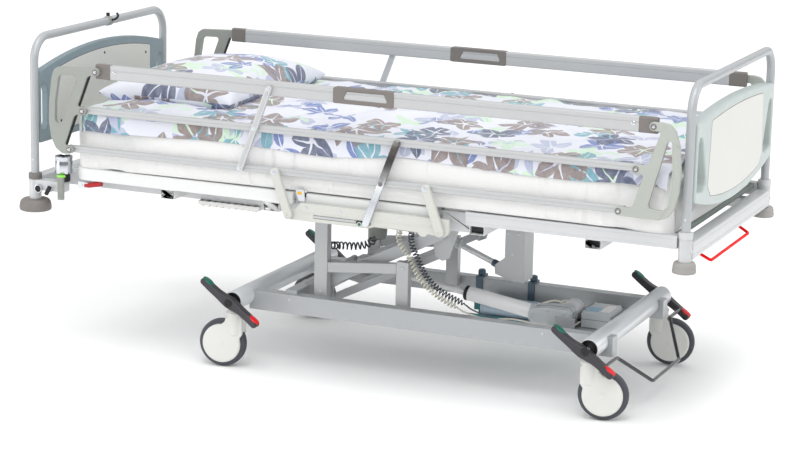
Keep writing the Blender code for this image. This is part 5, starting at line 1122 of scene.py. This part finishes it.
for side, s in (("near", -1), ("far", 1)):
    def side_me(me, s=s):
        return me if s < 0 else mirrored(me)

    def q(name, me, mat, body, slot, bevel=0.0, seg=3, stands=(), smooth=35, upper=False):
        return piece("%s_%s" % (name, side), side_me(me), M[mat] if isinstance(mat, str) else mat, "upper_frame" if upper else "rail_%s_%s" % (body, side), slot, bevel, seg,
                     stands_for=tuple("rail_%s_%s" % (n, side) for n in stands), smooth=smooth)

    for nm, x0, x1, z, h, body in (("bottom_bar", EH - 0.011, EF + 0.011, RZ[1], 0.0105, "bottom_bar"), ("mid_bar", lx(EH, 1) - 0.011, lx(EF, 1) + 0.011, RZ[2], 0.0105, "mid_bar"),
                                  ("top_bar", lx(EH, 2) - 0.006, lx(EF, 2) + 0.006, RZ[3], 0.0220, "top_bar")):
        q("bar_" + nm, bar_mesh(x0, x1, z, h), "alu_bar", body, "silver_paint", 0.0, stands=(body,), smooth=28)
        if nm == "top_bar":
            q("bar_cap_head", cap_mesh(x0 - 0.0006, x0 + 0.052, z, h), "taupe", body, "grey_plastic", 0.0022)
            q("bar_cap_foot", cap_mesh(x1 - 0.054, x1 + 0.0006, z, h), "taupe", body, "grey_plastic", 0.0022)
        else:
            q("bar_plug_a_" + nm, cap_mesh(x0 - 0.0008, x0 + 0.0030, z, h, 0.0003), "taupe", body, "grey_plastic", 0.001, 2)
            q("bar_plug_b_" + nm, cap_mesh(x1 - 0.0030, x1 + 0.0008, z, h, 0.0003), "taupe", body, "grey_plastic", 0.001, 2)
    for k, bx in enumerate((-0.925, 0.712)):
        q("bar_screw_%d" % k, lathe([(-0.0008, 0), (-0.0008, 0.0062), (0.0006, 0.0064), (0.0016, 0.0050), (0.0018, 0.0026), (0.0006, 0.0022), (0.0006, 0)], (bx, -0.458, 0.903), (0, -1, 0), 28), "chrome", "top_bar", "chrome")
    # hand grip in the middle of the top bar, with a trapezoid opening
    gout = rounded_outline([(-0.199, 0.8775), (-0.007, 0.8775), (-0.0075, 0.9245), (-0.1985, 0.9245)], 0.006, 8)
    ghole = rounded_outline([(-0.155, 0.9140), (-0.038, 0.9140), (-0.026, 0.8900), (-0.167, 0.8900)], 0.0045, 8)
    q("grip", prism("y", gout, -0.4604, -0.4356, [ghole]), "taupe", "top_bar", "grey_plastic", 0.0016, 4)
    # end pieces with a raised lip round the opening, and their screws
    y0, y1 = -0.4723, -0.4583
    q("end_head", prism("y", HO, y0, y1, [head_hole]), "end_plastic", "end_head", "grey_plastic", 0.0026, 4, ("end_head",))
    q("end_head_lip", prism("y", offset(head_hole, 0.0042), y0 - 0.0009, y1 + 0.0002, [offset(head_hole, -0.0004)]), "end_plastic", "end_head", "grey_plastic", 0.0010, 3)
    # black strips beside the end piece's edge between the ears: painted shade standing in for the dark slit there
    for k, (a0, a1) in enumerate((((ph[2][0] - 0.0262, ph[2][1] - 0.0140), (ph[1][0] - 0.0170, ph[1][1] + 0.0140)), ((ph[1][0] - 0.0267, ph[1][1] - 0.0140), (ph[0][0] - 0.0162, ph[0][1] + 0.0140)))):
        q("end_head_edge_%d" % k, prism("y", [a0, a1, (a1[0] + 0.0058, a1[1]), (a0[0] + 0.0058, a0[1])], -0.4660, -0.4590), "black", "end_head", "grey_plastic", 0.0008, 2)
    q("end_foot", prism("y", FO, y0, y1, [foot_hole]), "end_foot", "end_foot", "grey_plastic", 0.0026, 4, ("end_foot",))
    q("end_foot_lip", prism("y", offset(foot_hole, 0.0042), y0 - 0.0009, y1 + 0.0002, [offset(foot_hole, -0.0004)]), "end_foot", "end_foot", "grey_plastic", 0.0010, 3)
    for tag, pts in (("end_head", ph), ("end_foot", pf)):
        for k, (cx, cz) in enumerate(pts):
            q("%s_washer_%d" % (tag, k), lathe([(-0.0010, 0.0044), (-0.0010, 0.0088), (0.0003, 0.0090), (0.0012, 0.0082), (0.0012, 0.0044), (-0.0010, 0.0044)], (cx, y0, cz), (0, -1, 0), 36), "taupe", tag, "grey_plastic")
            q("%s_screw_%d" % (tag, k), lathe([(-0.0010, 0), (-0.0010, 0.0050), (0.0016, 0.0052), (0.0030, 0.0042), (0.0033, 0.0026), (0.0018, 0.0022), (0.0018, 0)], (cx, y0, cz), (0, -1, 0), 28), "chrome", tag, "chrome")
    # struts
    xa0, xa1 = -0.4948, lx(-0.4948, 2)
    q("strut_a", prism("y", capsule((xa0, RZ[1]), (xa1, RZ[3]), 0.0095), -0.4703, -0.4583), "silver", "strut_a", "silver_paint", 0.0016, 3, ("strut_a",))
    q("strut_a_web", prism("y", capsule((xa0 + 0.004, RZ[1] + 0.012), (xa1 - 0.004, RZ[3] - 0.012), 0.0048), -0.4712, -0.4690), "alu_bar", "strut_a", "silver_paint", 0.0006, 2)
    for k in range(3):
        cx, cz = lx(-0.4948, k), RZ[1 + k]
        q("strut_a_rivet_%d" % k, lathe([(-0.0008, 0), (-0.0008, 0.0060), (0.0010, 0.0058), (0.0022, 0.0040), (0.0026, 0)], (cx, -0.4703, cz), (0, -1, 0), 28), "zinc", "strut_a", "chrome")
    xb0, xb1 = -0.0843, lx(-0.0843, 2)
    q("strut_b", prism("y", capsule((xb0, RZ[0]), (xb1, RZ[2]), 0.0105), -0.4703, -0.4583), "plated_strut", "strut_b", "chrome", 0.0028, 4, ("strut_b",))
    for k, z in enumerate((RZ[1], RZ[2])):
        q("strut_b_rivet_%d" % k, lathe([(-0.0008, 0), (-0.0008, 0.0068), (0.0008, 0.0066), (0.0022, 0.0046), (0.0027, 0.0020), (0.0018, 0.0016), (0.0018, 0)], (lx(-0.0843, k + 1), -0.4703, z), (0, -1, 0), 28), "taupe", "strut_b", "chrome")
    # cream arms with pivot caps
    for k, ax in ((1, -0.3340), (2, 0.1484)):
        q("arm_%d" % k, prism("y", capsule((ax, RZ[0]), (ax - LEAN, RZ[1]), 0.0135), -0.4733, -0.4583), "cream", "arm_%d" % k, "cream_plastic", 0.0034, 4, ("arm_%d" % k,))
        for j, (cx, cz) in enumerate(((ax, RZ[0]), (ax - LEAN, RZ[1]))):
            q("arm_%d_cap_%d" % (k, j), lathe([(-0.0012, 0), (-0.0012, 0.0082), (0.0006, 0.0080), (0.0014, 0.0066), (0.0014, 0.0032), (0.0004, 0.0028), (0.0004, 0)], (cx, -0.4733, cz), (0, -1, 0), 36), "cream" if j == 0 else "zinc",
              "arm_%d" % k, "cream_plastic")
    # bracket on the frame
    dress("rail_bracket_" + side, M["cream"], 0.0022, 3)
    q("guide_bar", prism("x", rounded_outline([(-0.4570, 0.5278), (-0.4415, 0.5278), (-0.4415, 0.5362), (-0.4570, 0.5362)], 0.002), -0.302, -0.120), "alu_bar", "", "chrome", upper=True)
    q("guide_shadow", box(-0.2570, -0.0760, -0.4440, -0.4402, 0.5272, 0.5368), "cable_dark", "", "cream_plastic", upper=True)
    q("lock_button_ring", lathe([(-0.001, 0.0046), (-0.001, 0.0074), (0.0010, 0.0072), (0.0014, 0.0060), (0.0010, 0.0046), (-0.001, 0.0046)], (-0.1080, -0.4575, 0.5262), (0, -1, 0), 36), "cream", "", "cream_plastic", upper=True)
    q("lock_button", lathe([(-0.001, 0), (-0.001, 0.0046), (0.0020, 0.0045), (0.0032, 0.0034), (0.0036, 0)], (-0.1080, -0.4575, 0.5262), (0, -1, 0), 36), "green", "", "cream_plastic", upper=True)
    for k, (bx, bz) in enumerate(((-0.280, 0.556), (-0.170, 0.556), (0.020, 0.556), (0.120, 0.556))):
        q("bracket_screw_%d" % k, lathe([(-0.001, 0), (-0.001, 0.0050), (0.0003, 0.0048), (0.0006, 0.0034), (0.0006, 0.0022), (0.0001, 0.0020), (0.0001, 0)], (bx, -0.4575, bz), (0, -1, 0), 24), "zinc", "", "chrome", upper=True)
    q("bracket_step", prism("y", rounded_outline([(-0.300, 0.5405), (0.160, 0.5405), (0.160, 0.5450), (-0.304, 0.5450)], 0.0015), -0.4583, -0.4570), "cream", "", "cream_plastic", 0.0005, 2, upper=True)
    q("hinge_tab", prism("y", rounded_outline([(-0.330, 0.5700), (-0.294, 0.5700), (-0.297, 0.6040), (-0.306, 0.6065), (-0.324, 0.6040)], 0.004), -0.4373, -0.4342), "chrome", "", "chrome", 0.0008, upper=True)
    q("hinge_mark", prism("y", rounded_outline([(-0.320, 0.5900), (-0.304, 0.5900), (-0.306, 0.5990), (-0.318, 0.5990)], 0.002), -0.4378, -0.4368), "yellow", "", "chrome", 0.0003, 2, upper=True)


def to_grid_mesh(name, P, UV=None, close_v=False, caps=False):
    """P[i][j] points; faces between them. With close_v the second index wraps."""
    ni, nj = P.shape[0], P.shape[1]
    verts = P.reshape(-1, 3)
    faces, loops_uv = [], []
    jm = nj if close_v else nj - 1
    for i in range(ni - 1):
        for j in range(jm):
            j2 = (j + 1) % nj
            faces.append((i * nj + j, i * nj + j2, (i + 1) * nj + j2, (i + 1) * nj + j))
            if UV is not None:
                loops_uv.append((UV[i, j], UV[i, j + 1], UV[i + 1, j + 1], UV[i + 1, j]))
    if caps:
        faces.append(tuple(range(nj)))
        faces.append(tuple((ni - 1) * nj + j for j in reversed(range(nj))))
        if UV is not None:
            loops_uv.append([UV[0, j] for j in range(nj)])
            loops_uv.append([UV[ni - 1, j] for j in reversed(range(nj))])
    me = bpy.data.meshes.new(name)
    me.from_pydata([tuple(v) for v in verts], [], faces)
    if UV is not None:
        lay = me.uv_layers.new(name="UVMap")
        flat = np.array([uv for f in loops_uv for uv in f], float)
        lay.data.foreach_set("uv", flat.ravel())
    me.update()
    return me


def coords(me):
    a = np.empty(len(me.vertices) * 3)
    me.vertices.foreach_get("co", a)
    return a.reshape(-1, 3)


def set_coords(me, a):
    me.vertices.foreach_set("co", np.asarray(a, float).ravel())
    me.update()


def simulate(o, pressure=0.0, shrink=-0.02, cap=0.008, frames=20, pin=None, bend=0.4, tension=12.0, clamp=None, smooth=0):
    """Runs Cloth on a copy with gravity off, limits how far each point moves, and writes the result to the mesh."""
    rest = coords(o.data)
    m = o.modifiers.new("cloth", "CLOTH")
    st = m.settings
    st.quality = 6
    st.mass = 0.25
    st.tension_stiffness = st.compression_stiffness = tension
    st.shear_stiffness = 4
    st.bending_stiffness = bend
    st.tension_damping = st.compression_damping = 8
    st.shear_damping = 6
    st.bending_damping = 0.5
    st.air_damping = 3
    st.shrink_min = shrink
    st.effector_weights.gravity = 0
    if pressure:
        st.use_pressure = True
        st.uniform_pressure_force = pressure
    if pin is not None:
        g = o.vertex_groups.new(name="pin")
        for i, w in pin:
            g.add([int(i)], float(w), "REPLACE")
        st.vertex_group_mass = "pin"
    m.collision_settings.use_collision = False
    m.point_cache.frame_start, m.point_cache.frame_end = 1, frames
    sc = bpy.context.scene
    for f in range(1, frames + 1):
        sc.frame_set(f)
    me = o.evaluated_get(bpy.context.evaluated_depsgraph_get()).to_mesh()
    now = coords(me)
    o.evaluated_get(bpy.context.evaluated_depsgraph_get()).to_mesh_clear()
    o.modifiers.remove(m)
    o.vertex_groups.clear()
    sc.frame_set(1)
    d = now - rest
    L = np.linalg.norm(d, axis=1, keepdims=True)
    k = cap * np.tanh(L / cap) / np.maximum(L, 1e-9)
    res = rest + d * k
    if clamp is not None:
        res = clamp(res, rest)
    set_coords(o.data, res)


def vnoise(v, scale, seed=0.0):
    return noise.noise(Vector((v[0] * scale + seed, v[1] * scale + seed * 0.7, v[2] * scale - seed)))


def link_me(name, me):
    o = bpy.data.objects.new(name, me)
    bpy.context.scene.collection.objects.link(o)
    return o


def subdivided(me, levels=1):
    o = link_me("sub", me)
    s = o.modifiers.new("s", "SUBSURF")
    s.levels = s.render_levels = levels
    s.subdivision_type = "CATMULL_CLARK"
    s.uv_smooth = "NONE"
    bpy.context.view_layer.update()
    out = bpy.data.meshes.new_from_object(o.evaluated_get(bpy.context.evaluated_depsgraph_get()))
    bpy.data.objects.remove(o, do_unlink=True)
    return out


def split_x(me, cuts, names):
    """Cuts a mesh by face centre at the given x values. Each part keeps the whole mesh's point normals, so no seam shows."""
    me.shade_smooth()
    nrm = np.empty(len(me.vertices) * 3)
    me.vertex_normals.foreach_get("vector", nrm)
    nrm = nrm.reshape(-1, 3)
    uvl = me.uv_layers[0].data if me.uv_layers else None
    co = coords(me)
    parts = [[] for _ in names]
    for p in me.polygons:
        cx = sum(co[v][0] for v in p.vertices) / len(p.vertices)
        parts[sum(cx > c for c in cuts)].append(p)
    out = []
    for nm, polys in zip(names, parts):
        ids, faces, uvs = {}, [], []
        for p in polys:
            faces.append([ids.setdefault(v, len(ids)) for v in p.vertices])
            if uvl:
                uvs.extend([tuple(uvl[l].uv) for l in p.loop_indices])
        order = list(ids)
        m2 = bpy.data.meshes.new(nm)
        m2.from_pydata([tuple(co[v]) for v in order], [], faces)
        if uvl:
            lay = m2.uv_layers.new(name="UVMap")
            lay.data.foreach_set("uv", np.array(uvs, float).ravel())
        m2.shade_smooth()
        m2.update()
        m2.normals_split_custom_set_from_vertices([tuple(nrm[v]) for v in order])
        out.append(m2)
    return out


def section_loop(y_half, z0, z1, r_top, r_bot, n_side, n_top):
    """Closed (y, z) loop of a rounded mattress section, starting at the near bottom, going up and over."""
    pts = []
    pts += [(-y_half, z0 + r_bot + (z1 - r_top - z0 - r_bot) * k / n_side) for k in range(n_side)]
    pts += [(-y_half + r_top - r_top * math.cos(a), z1 - r_top + r_top * math.sin(a)) for a in np.linspace(0, PI / 2, 8)[:-1]]
    pts += [(-y_half + r_top + (2 * y_half - 2 * r_top) * k / n_top, z1) for k in range(n_top)]
    pts += [(y_half - r_top + r_top * math.sin(a), z1 - r_top + r_top * math.cos(a)) for a in np.linspace(0, PI / 2, 8)[:-1]]
    pts += [(y_half, z1 - r_top - (z1 - r_top - z0 - r_bot) * k / n_side) for k in range(n_side)]
    pts += [(y_half - r_bot + r_bot * math.cos(a), z0 + r_bot - r_bot * math.sin(a)) for a in np.linspace(0, PI / 2, 5)[:-1]]
    pts += [(y_half - r_bot - (2 * y_half - 2 * r_bot) * k / 24, z0) for k in range(24)]
    pts += [(-y_half + r_bot - r_bot * math.sin(a), z0 + r_bot - r_bot * math.cos(a)) for a in np.linspace(0, PI / 2, 5)[:-1]]
    return pts


# ---- mattress in its fitted sheet
NX = 128
x0, x1 = -1.090, 0.834
loop = section_loop(0.4250, 0.5888, 0.7600, 0.030, 0.004, 18, 34)
P = np.zeros((NX + 1, len(loop), 3))
for i in range(NX + 1):
    u = i / NX
    # rounded ends: the section draws in over the last 45 mm
    x = x0 + (x1 - x0) * u
    e = min(x - x0, x1 - x)
    sh = 0.0 if e > 0.045 else (1 - math.sqrt(max(0.0, 1 - (1 - e / 0.045) ** 2)))
    lean = 0.0
    for j, (yy, zz) in enumerate(loop):
        fy = 1 - sh * 0.085
        zc = 0.5940 + (zz - 0.5940) * (1 - sh * 0.10)
        xx = x
        if x > 0.70:
            xx = x - (zc - 0.587) * math.tan(math.radians(4.6)) * (x - 0.70) / (x1 - 0.70)
        P[i, j] = (xx + DX, yy * fy, zc)
me = to_grid_mesh("sheet_all", P, None, True, True)
o = link_me("sheet_work", me)
rest = coords(me)
for k in range(len(rest)):
    v = rest[k]
    side = abs(v[1]) > 0.40
    a = 0.0012 * vnoise(v, 9.0)
    if side:
        # loose folds that run down from the hem of the quilt, and longer slack ones
        g = (v[2] - 0.5938) / 0.166
        slant = v[0] + 0.35 * (v[2] - 0.68)
        fold = (1 - abs(vnoise((slant, 0.0, v[2] * 0.16), 13.0, 3.1)) * 2.0)
        fine = (1 - abs(vnoise((slant * 1.0, 0.3, v[2] * 0.30), 31.0, 6.4)) * 2.0)
        a += 0.0055 * max(0.0, fold) ** 3 * (0.35 + 0.65 * g) + 0.0022 * max(0.0, fine) ** 2 * g - 0.0020
        a *= min(1.0, g * 7.0)
    rest[k] = v + np.array((0.0, math.copysign(a, v[1]) if side else 0.0, 0.0 if side else a))
set_coords(me, rest)


def clamp_sheet(res, r0):
    res[:, 1] = np.clip(res[:, 1], -0.4305, 0.4305)
    res[:, 2] = np.clip(res[:, 2], 0.5886, 0.7640)
    res[:, 0] = np.clip(res[:, 0], x0 - 0.001 + DX, 0.8385 + DX)
    return res


simulate(o, 0.8, -0.060, 0.0085, 20, None, 0.05, 8.0, clamp_sheet)
sheet_me = subdivided(o.data, 1)
bpy.data.objects.remove(o, do_unlink=True)
cuts = (-0.09 + DX, 0.285 + DX)
BL_A = ("upper_frame", "back", (-0.13 + DX, 0, 0.6), (-0.50 + DX, 0, 0.6))
BL_B = ("upper_frame", "thigh", (0.0 + DX, 0, 0.6), (0.24 + DX, 0, 0.6))
BL_C = ("thigh", "calf", (0.31 + DX, 0, 0.6), (0.59 + DX, 0, 0.6))


def three(names, mesh, mat, stands):
    for me, nm, bl, st in zip(split_x(mesh, cuts, names), names, (BL_A, BL_B, BL_C), stands):
        o = link_me(nm, me)
        me.materials.append(M[mat])
        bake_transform(o)
        if st:
            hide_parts(*st)


three(("sheet_back", "sheet_seat", "sheet_leg"), sheet_me, "sheet", (("mattress_back", "mattress_seat"), ("mattress_thigh",), ("mattress_calf",)))

# ---- printed quilt over the mattress: top and a hem that hangs down both sides
NQ, xq0, xq1 = 150, -1.045, 0.806
hem0 = 0.7220


def quilt_section(hem):
    n_s, n_c, n_t = 5, 8, 56
    y, r, zt = 0.4315, 0.030, 0.7735
    pts = [(-y, hem + (zt - r - hem) * k / n_s) for k in range(n_s)]
    pts += [(-y + r - r * math.cos(a), zt - r + r * math.sin(a)) for a in np.linspace(0, PI / 2, n_c)[:-1]]
    pts += [(-y + r + (2 * y - 2 * r) * k / n_t, zt) for k in range(n_t)]
    pts += [(y - r + r * math.sin(a), zt - r + r * math.cos(a)) for a in np.linspace(0, PI / 2, n_c)[:-1]]
    pts += [(y, zt - r - (zt - r - hem) * k / n_s) for k in range(n_s + 1)]
    return pts


ns = len(quilt_section(hem0))
P = np.zeros((NQ + 1, ns, 3))
UV = np.zeros((NQ + 1, ns, 2))
for i in range(NQ + 1):
    x = xq0 + (xq1 - xq0) * i / NQ
    hem = hem0 + 0.006 * math.sin(x * 9.0 + 0.5) + 0.005 * noise.noise(Vector((x * 6.0, 1.3, 0))) + 0.010 * noise.noise(Vector((x * 2.1, 7.3, 0)))
    e = min((x - xq0) / 0.05, (xq1 - x) / 0.06, 1.0)
    drop = 0.012 * (1 - math.sqrt(max(0.0, 1 - (1 - e) ** 2)))
    sec = quilt_section(hem)
    s = 0.0
    for j, (yy, zz) in enumerate(sec):
        if j:
            s += math.hypot(yy - sec[j - 1][0], zz - sec[j - 1][1])
        v = (x, yy, zz)
        crown = 0.010 * (1 - (abs(yy) / 0.43) ** 4) if zz > 0.77 else 0.0
        soft = 0.0085 * vnoise((x, yy * 1.3, 0), 4.2, 5.0) + 0.0042 * vnoise((x, yy, 0), 11.0, 2.0)
        ridge = 0.0060 * max(0.0, 1 - abs(vnoise((x * 0.8, yy * 1.2, 0), 7.0, 8.0)) * 3.0) ** 2 + 0.0035 * max(0.0, 1 - abs(vnoise((x * 1.2, yy * 0.7, 0), 14.0, 11.0)) * 3.0) ** 2
        if abs(yy) > 0.425:
            out = 0.0018 * vnoise((x, 0, zz * 0.6), 16.0, 4.0) + 0.0016 * math.sin(x * 31.0 + 2.0 * math.sin(x * 7.0))
            P[i, j] = (x + DX, yy + math.copysign(out, yy), zz - drop)
        else:
            P[i, j] = (x + DX, yy, zz + crown + soft * 0.8 + ridge - drop)
        UV[i, j] = (x, s)
me = to_grid_mesh("quilt_all", P, UV)
o = link_me("quilt_work", me)


def clamp_quilt(res, r0):
    res[:, 1] = np.clip(res[:, 1], -0.4335, 0.4335)
    side = np.abs(r0[:, 1]) > 0.43
    res[~side, 2] = np.maximum(res[~side, 2], 0.7655)
    lo_y = 0.4292
    res[side, 1] = np.sign(res[side, 1]) * np.maximum(np.abs(res[side, 1]), lo_y)
    res[:, 0] = np.clip(res[:, 0], -1.05 + DX, 0.812 + DX)
    return res


simulate(o, 0.0, -0.055, 0.0120, 22, None, 0.05, 10.0, clamp_quilt)
bpy.context.view_layer.update()
q_me = subdivided(o.data, 1)
bpy.data.objects.remove(o, do_unlink=True)
o = link_me("quilt_solid", q_me)
sd = o.modifiers.new("s", "SOLIDIFY")
sd.thickness, sd.offset, sd.use_even_offset = 0.0042, -1.0, False
baked(o)
q_me = o.data
bpy.data.objects.remove(o, do_unlink=True)
three(("quilt_back", "quilt_seat", "quilt_leg"), q_me, "print", ((), (), ()))

# ---- pillow
NPX, NPY = 44, 52
px0, px1, py0, py1 = -1.078, -0.606, -0.305, 0.376
top_p, bot_p, uv_t = np.zeros((NPX + 1, NPY + 1, 3)), np.zeros((NPX + 1, NPY + 1, 3)), np.zeros((NPX + 1, NPY + 1, 2))
zb = 0.778
for i in range(NPX + 1):
    for j in range(NPY + 1):
        u, v = -1 + 2 * i / NPX, -1 + 2 * j / NPY
        k = (max(0.0, 1 - abs(u) ** 2.6) * max(0.0, 1 - abs(v) ** 2.8)) ** 0.52
        # sides pull in between the pointed corners
        x = px0 + (px1 - px0) * (u * (1 - 0.075 * (1 - v * v)) + 1) / 2
        y = py0 + (py1 - py0) * (v * (1 - 0.060 * (1 - u * u)) + 1) / 2
        seam = zb + 0.020 + 0.010 * (abs(u) ** 6 * abs(v) ** 6)
        top_p[i, j] = (x + DX, y, seam + 0.076 * k * (1 + 0.10 * u) + 0.004 * vnoise((x, y, 0), 7.0, 1.0) * k)
        bot_p[i, j] = (x + DX, y, max(zb - 0.002, seam - 0.030 * k))
        uv_t[i, j] = (y * 1.0 + 3.0, x * 1.0 + 1.0)
me = bpy.data.meshes.new("pillow_all")
idx = lambda i, j: i * (NPY + 1) + j
n_t = (NPX + 1) * (NPY + 1)
verts = [tuple(v) for v in top_p.reshape(-1, 3)]
low = {}
for i in range(NPX + 1):
    for j in range(NPY + 1):
        if i in (0, NPX) or j in (0, NPY):
            low[(i, j)] = idx(i, j)
        else:
            low[(i, j)] = len(verts)
            verts.append(tuple(bot_p[i, j]))
faces, uvs = [], []
for i in range(NPX):
    for j in range(NPY):
        q4 = ((i, j), (i + 1, j), (i + 1, j + 1), (i, j + 1))
        faces.append(tuple(idx(*a) for a in q4))
        uvs += [tuple(uv_t[a]) for a in q4]
        q4 = q4[::-1]
        faces.append(tuple(low[a] for a in q4))
        uvs += [(uv_t[a][0] + 2.3, uv_t[a][1]) for a in q4]
me.from_pydata(verts, [], faces)
me.uv_layers.new(name="UVMap").data.foreach_set("uv", np.array(uvs, float).ravel())
me.update()
o = link_me("pillow_work", me)


def clamp_pillow(res, r0):
    res[:, 2] = np.maximum(res[:, 2], 0.7745)
    res[:, 0] = np.maximum(res[:, 0], -1.088 + DX)
    return res


simulate(o, 2.0, -0.050, 0.012, 20, None, 0.12, 10.0, clamp_pillow)
p_me = subdivided(o.data, 1)
bpy.data.objects.remove(o, do_unlink=True)
o = link_me("pillow_case", p_me)
p_me.shade_smooth()
p_me.materials.append(M["print"])
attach(o, "back")
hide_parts("pillow")

# ================================================================ floor, light, camera
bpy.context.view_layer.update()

bm = bmesh.new()
bmesh.ops.create_grid(bm, x_segments=2, y_segments=2, size=30)
fme = to_mesh(bm, "floor", recalc=False)
floor = bpy.data.objects.new("floor", fme)
bpy.context.scene.collection.objects.link(floor)
floor.location = (0, 0, -0.0006)
t = Tree("floor_pale")
o_ = t.obj()
t.put(t.b.inputs["Base Color"], t.mix(t.map(t.noise(o_, 0.8, 3.0), 0.3, 0.7, 0, 1), (0.95, 0.95, 0.95), (0.965, 0.965, 0.965)))
t.b.inputs["Roughness"].default_value = 0.75
t.b.inputs["Specular IOR Level"].default_value = 0.2
fme.materials.append(t.mat)

sc = bpy.context.scene
world = bpy.data.worlds.new("studio")
sc.world = world
world.use_nodes = True
nt = world.node_tree
bg = nt.nodes["Background"]
tc = nt.nodes.new("ShaderNodeTexCoord")
sep = nt.nodes.new("ShaderNodeSeparateXYZ")
nt.links.new(tc.outputs["Generated"], sep.inputs[0])


def world_ramp(stops):
    r = nt.nodes.new("ShaderNodeValToRGB")
    r.color_ramp.interpolation = "EASE"
    while len(r.color_ramp.elements) < len(stops):
        r.color_ramp.elements.new(0.5)
    for e, (p_, c_) in zip(r.color_ramp.elements, stops):
        e.position, e.color = p_, (*c_, 1)
    mr = nt.nodes.new("ShaderNodeMapRange")
    nt.links.new(sep.outputs[2], mr.inputs[0])
    mr.inputs[1].default_value, mr.inputs[2].default_value = -1.0, 1.0
    nt.links.new(mr.outputs[0], r.inputs[0])
    return r.outputs[0]


diffuse = world_ramp([(0.0, (0.86, 0.87, 0.88)), (0.5, (0.94, 0.945, 0.955)), (1.0, (1.0, 1.0, 1.0))])
# polished parts mirror a darker band round the horizon between pale walls and floor
glossy = world_ramp([(0.38, (0.80, 0.81, 0.82)), (0.49, (0.30, 0.32, 0.35)), (0.55, (0.26, 0.28, 0.31)), (0.64, (0.86, 0.87, 0.885)), (0.80, (1.1, 1.1, 1.11))])
lp = nt.nodes.new("ShaderNodeLightPath")
mixw = nt.nodes.new("ShaderNodeMix")
mixw.data_type = "RGBA"
nt.links.new(lp.outputs["Is Glossy Ray"], mixw.inputs[0])
nt.links.new(diffuse, mixw.inputs[6])
nt.links.new(glossy, mixw.inputs[7])
nt.links.new(mixw.outputs[2], bg.inputs[0])
bg.inputs[1].default_value = 0.72


def area(name, loc, target, size, power, col=(1, 1, 1), size_y=None):
    L = bpy.data.lights.new(name, "AREA")
    L.energy, L.size, L.color = power, size, col
    if size_y:
        L.shape, L.size_y = "RECTANGLE", size_y
    ob = bpy.data.objects.new(name, L)
    sc.collection.objects.link(ob)
    ob.location = loc
    ob.rotation_euler = (Vector(target) - Vector(loc)).to_track_quat("-Z", "Y").to_euler()


sun = bpy.data.lights.new("sun", "SUN")
sun.energy, sun.angle = 0.95, math.radians(38)
so = bpy.data.objects.new("sun", sun)
sc.collection.objects.link(so)
so.rotation_euler = Vector((-0.18, 0.30, -1.0)).to_track_quat("-Z", "Y").to_euler()
area("key", (0.8, -3.2, 2.9), (0, 0, 0.6), 2.2, 26)
area("fill", (-3.6, -2.8, 1.1), (0, 0, 0.4), 2.0, 20, (0.985, 0.99, 1.0))
area("rim", (3.8, 1.6, 1.8), (0.3, 0, 0.7), 1.4, 14)

cam = bpy.data.cameras.new("camera")
co_ = bpy.data.objects.new("camera", cam)
sc.collection.objects.link(co_)
cam.lens, cam.sensor_width, cam.sensor_fit = 109.817, 36.0, "HORIZONTAL"
R_, U_, F_ = Vector((0.91726857, 0.39761134, 0.02288233)), Vector((-0.10951293, 0.19656695, 0.97435535)), Vector((-0.38291682, 0.89625145, -0.22384827))
co_.matrix_world = Matrix(((R_.x, U_.x, -F_.x, 2.72594 + DX), (R_.y, U_.y, -F_.y, -6.78756), (R_.z, U_.z, -F_.z, 2.10050), (0, 0, 0, 1)))
cam.clip_end = 100
sc.camera = co_
sc.view_settings.view_transform = "Standard"
sc.view_settings.look = "None"
sc.view_settings.exposure = 0.30
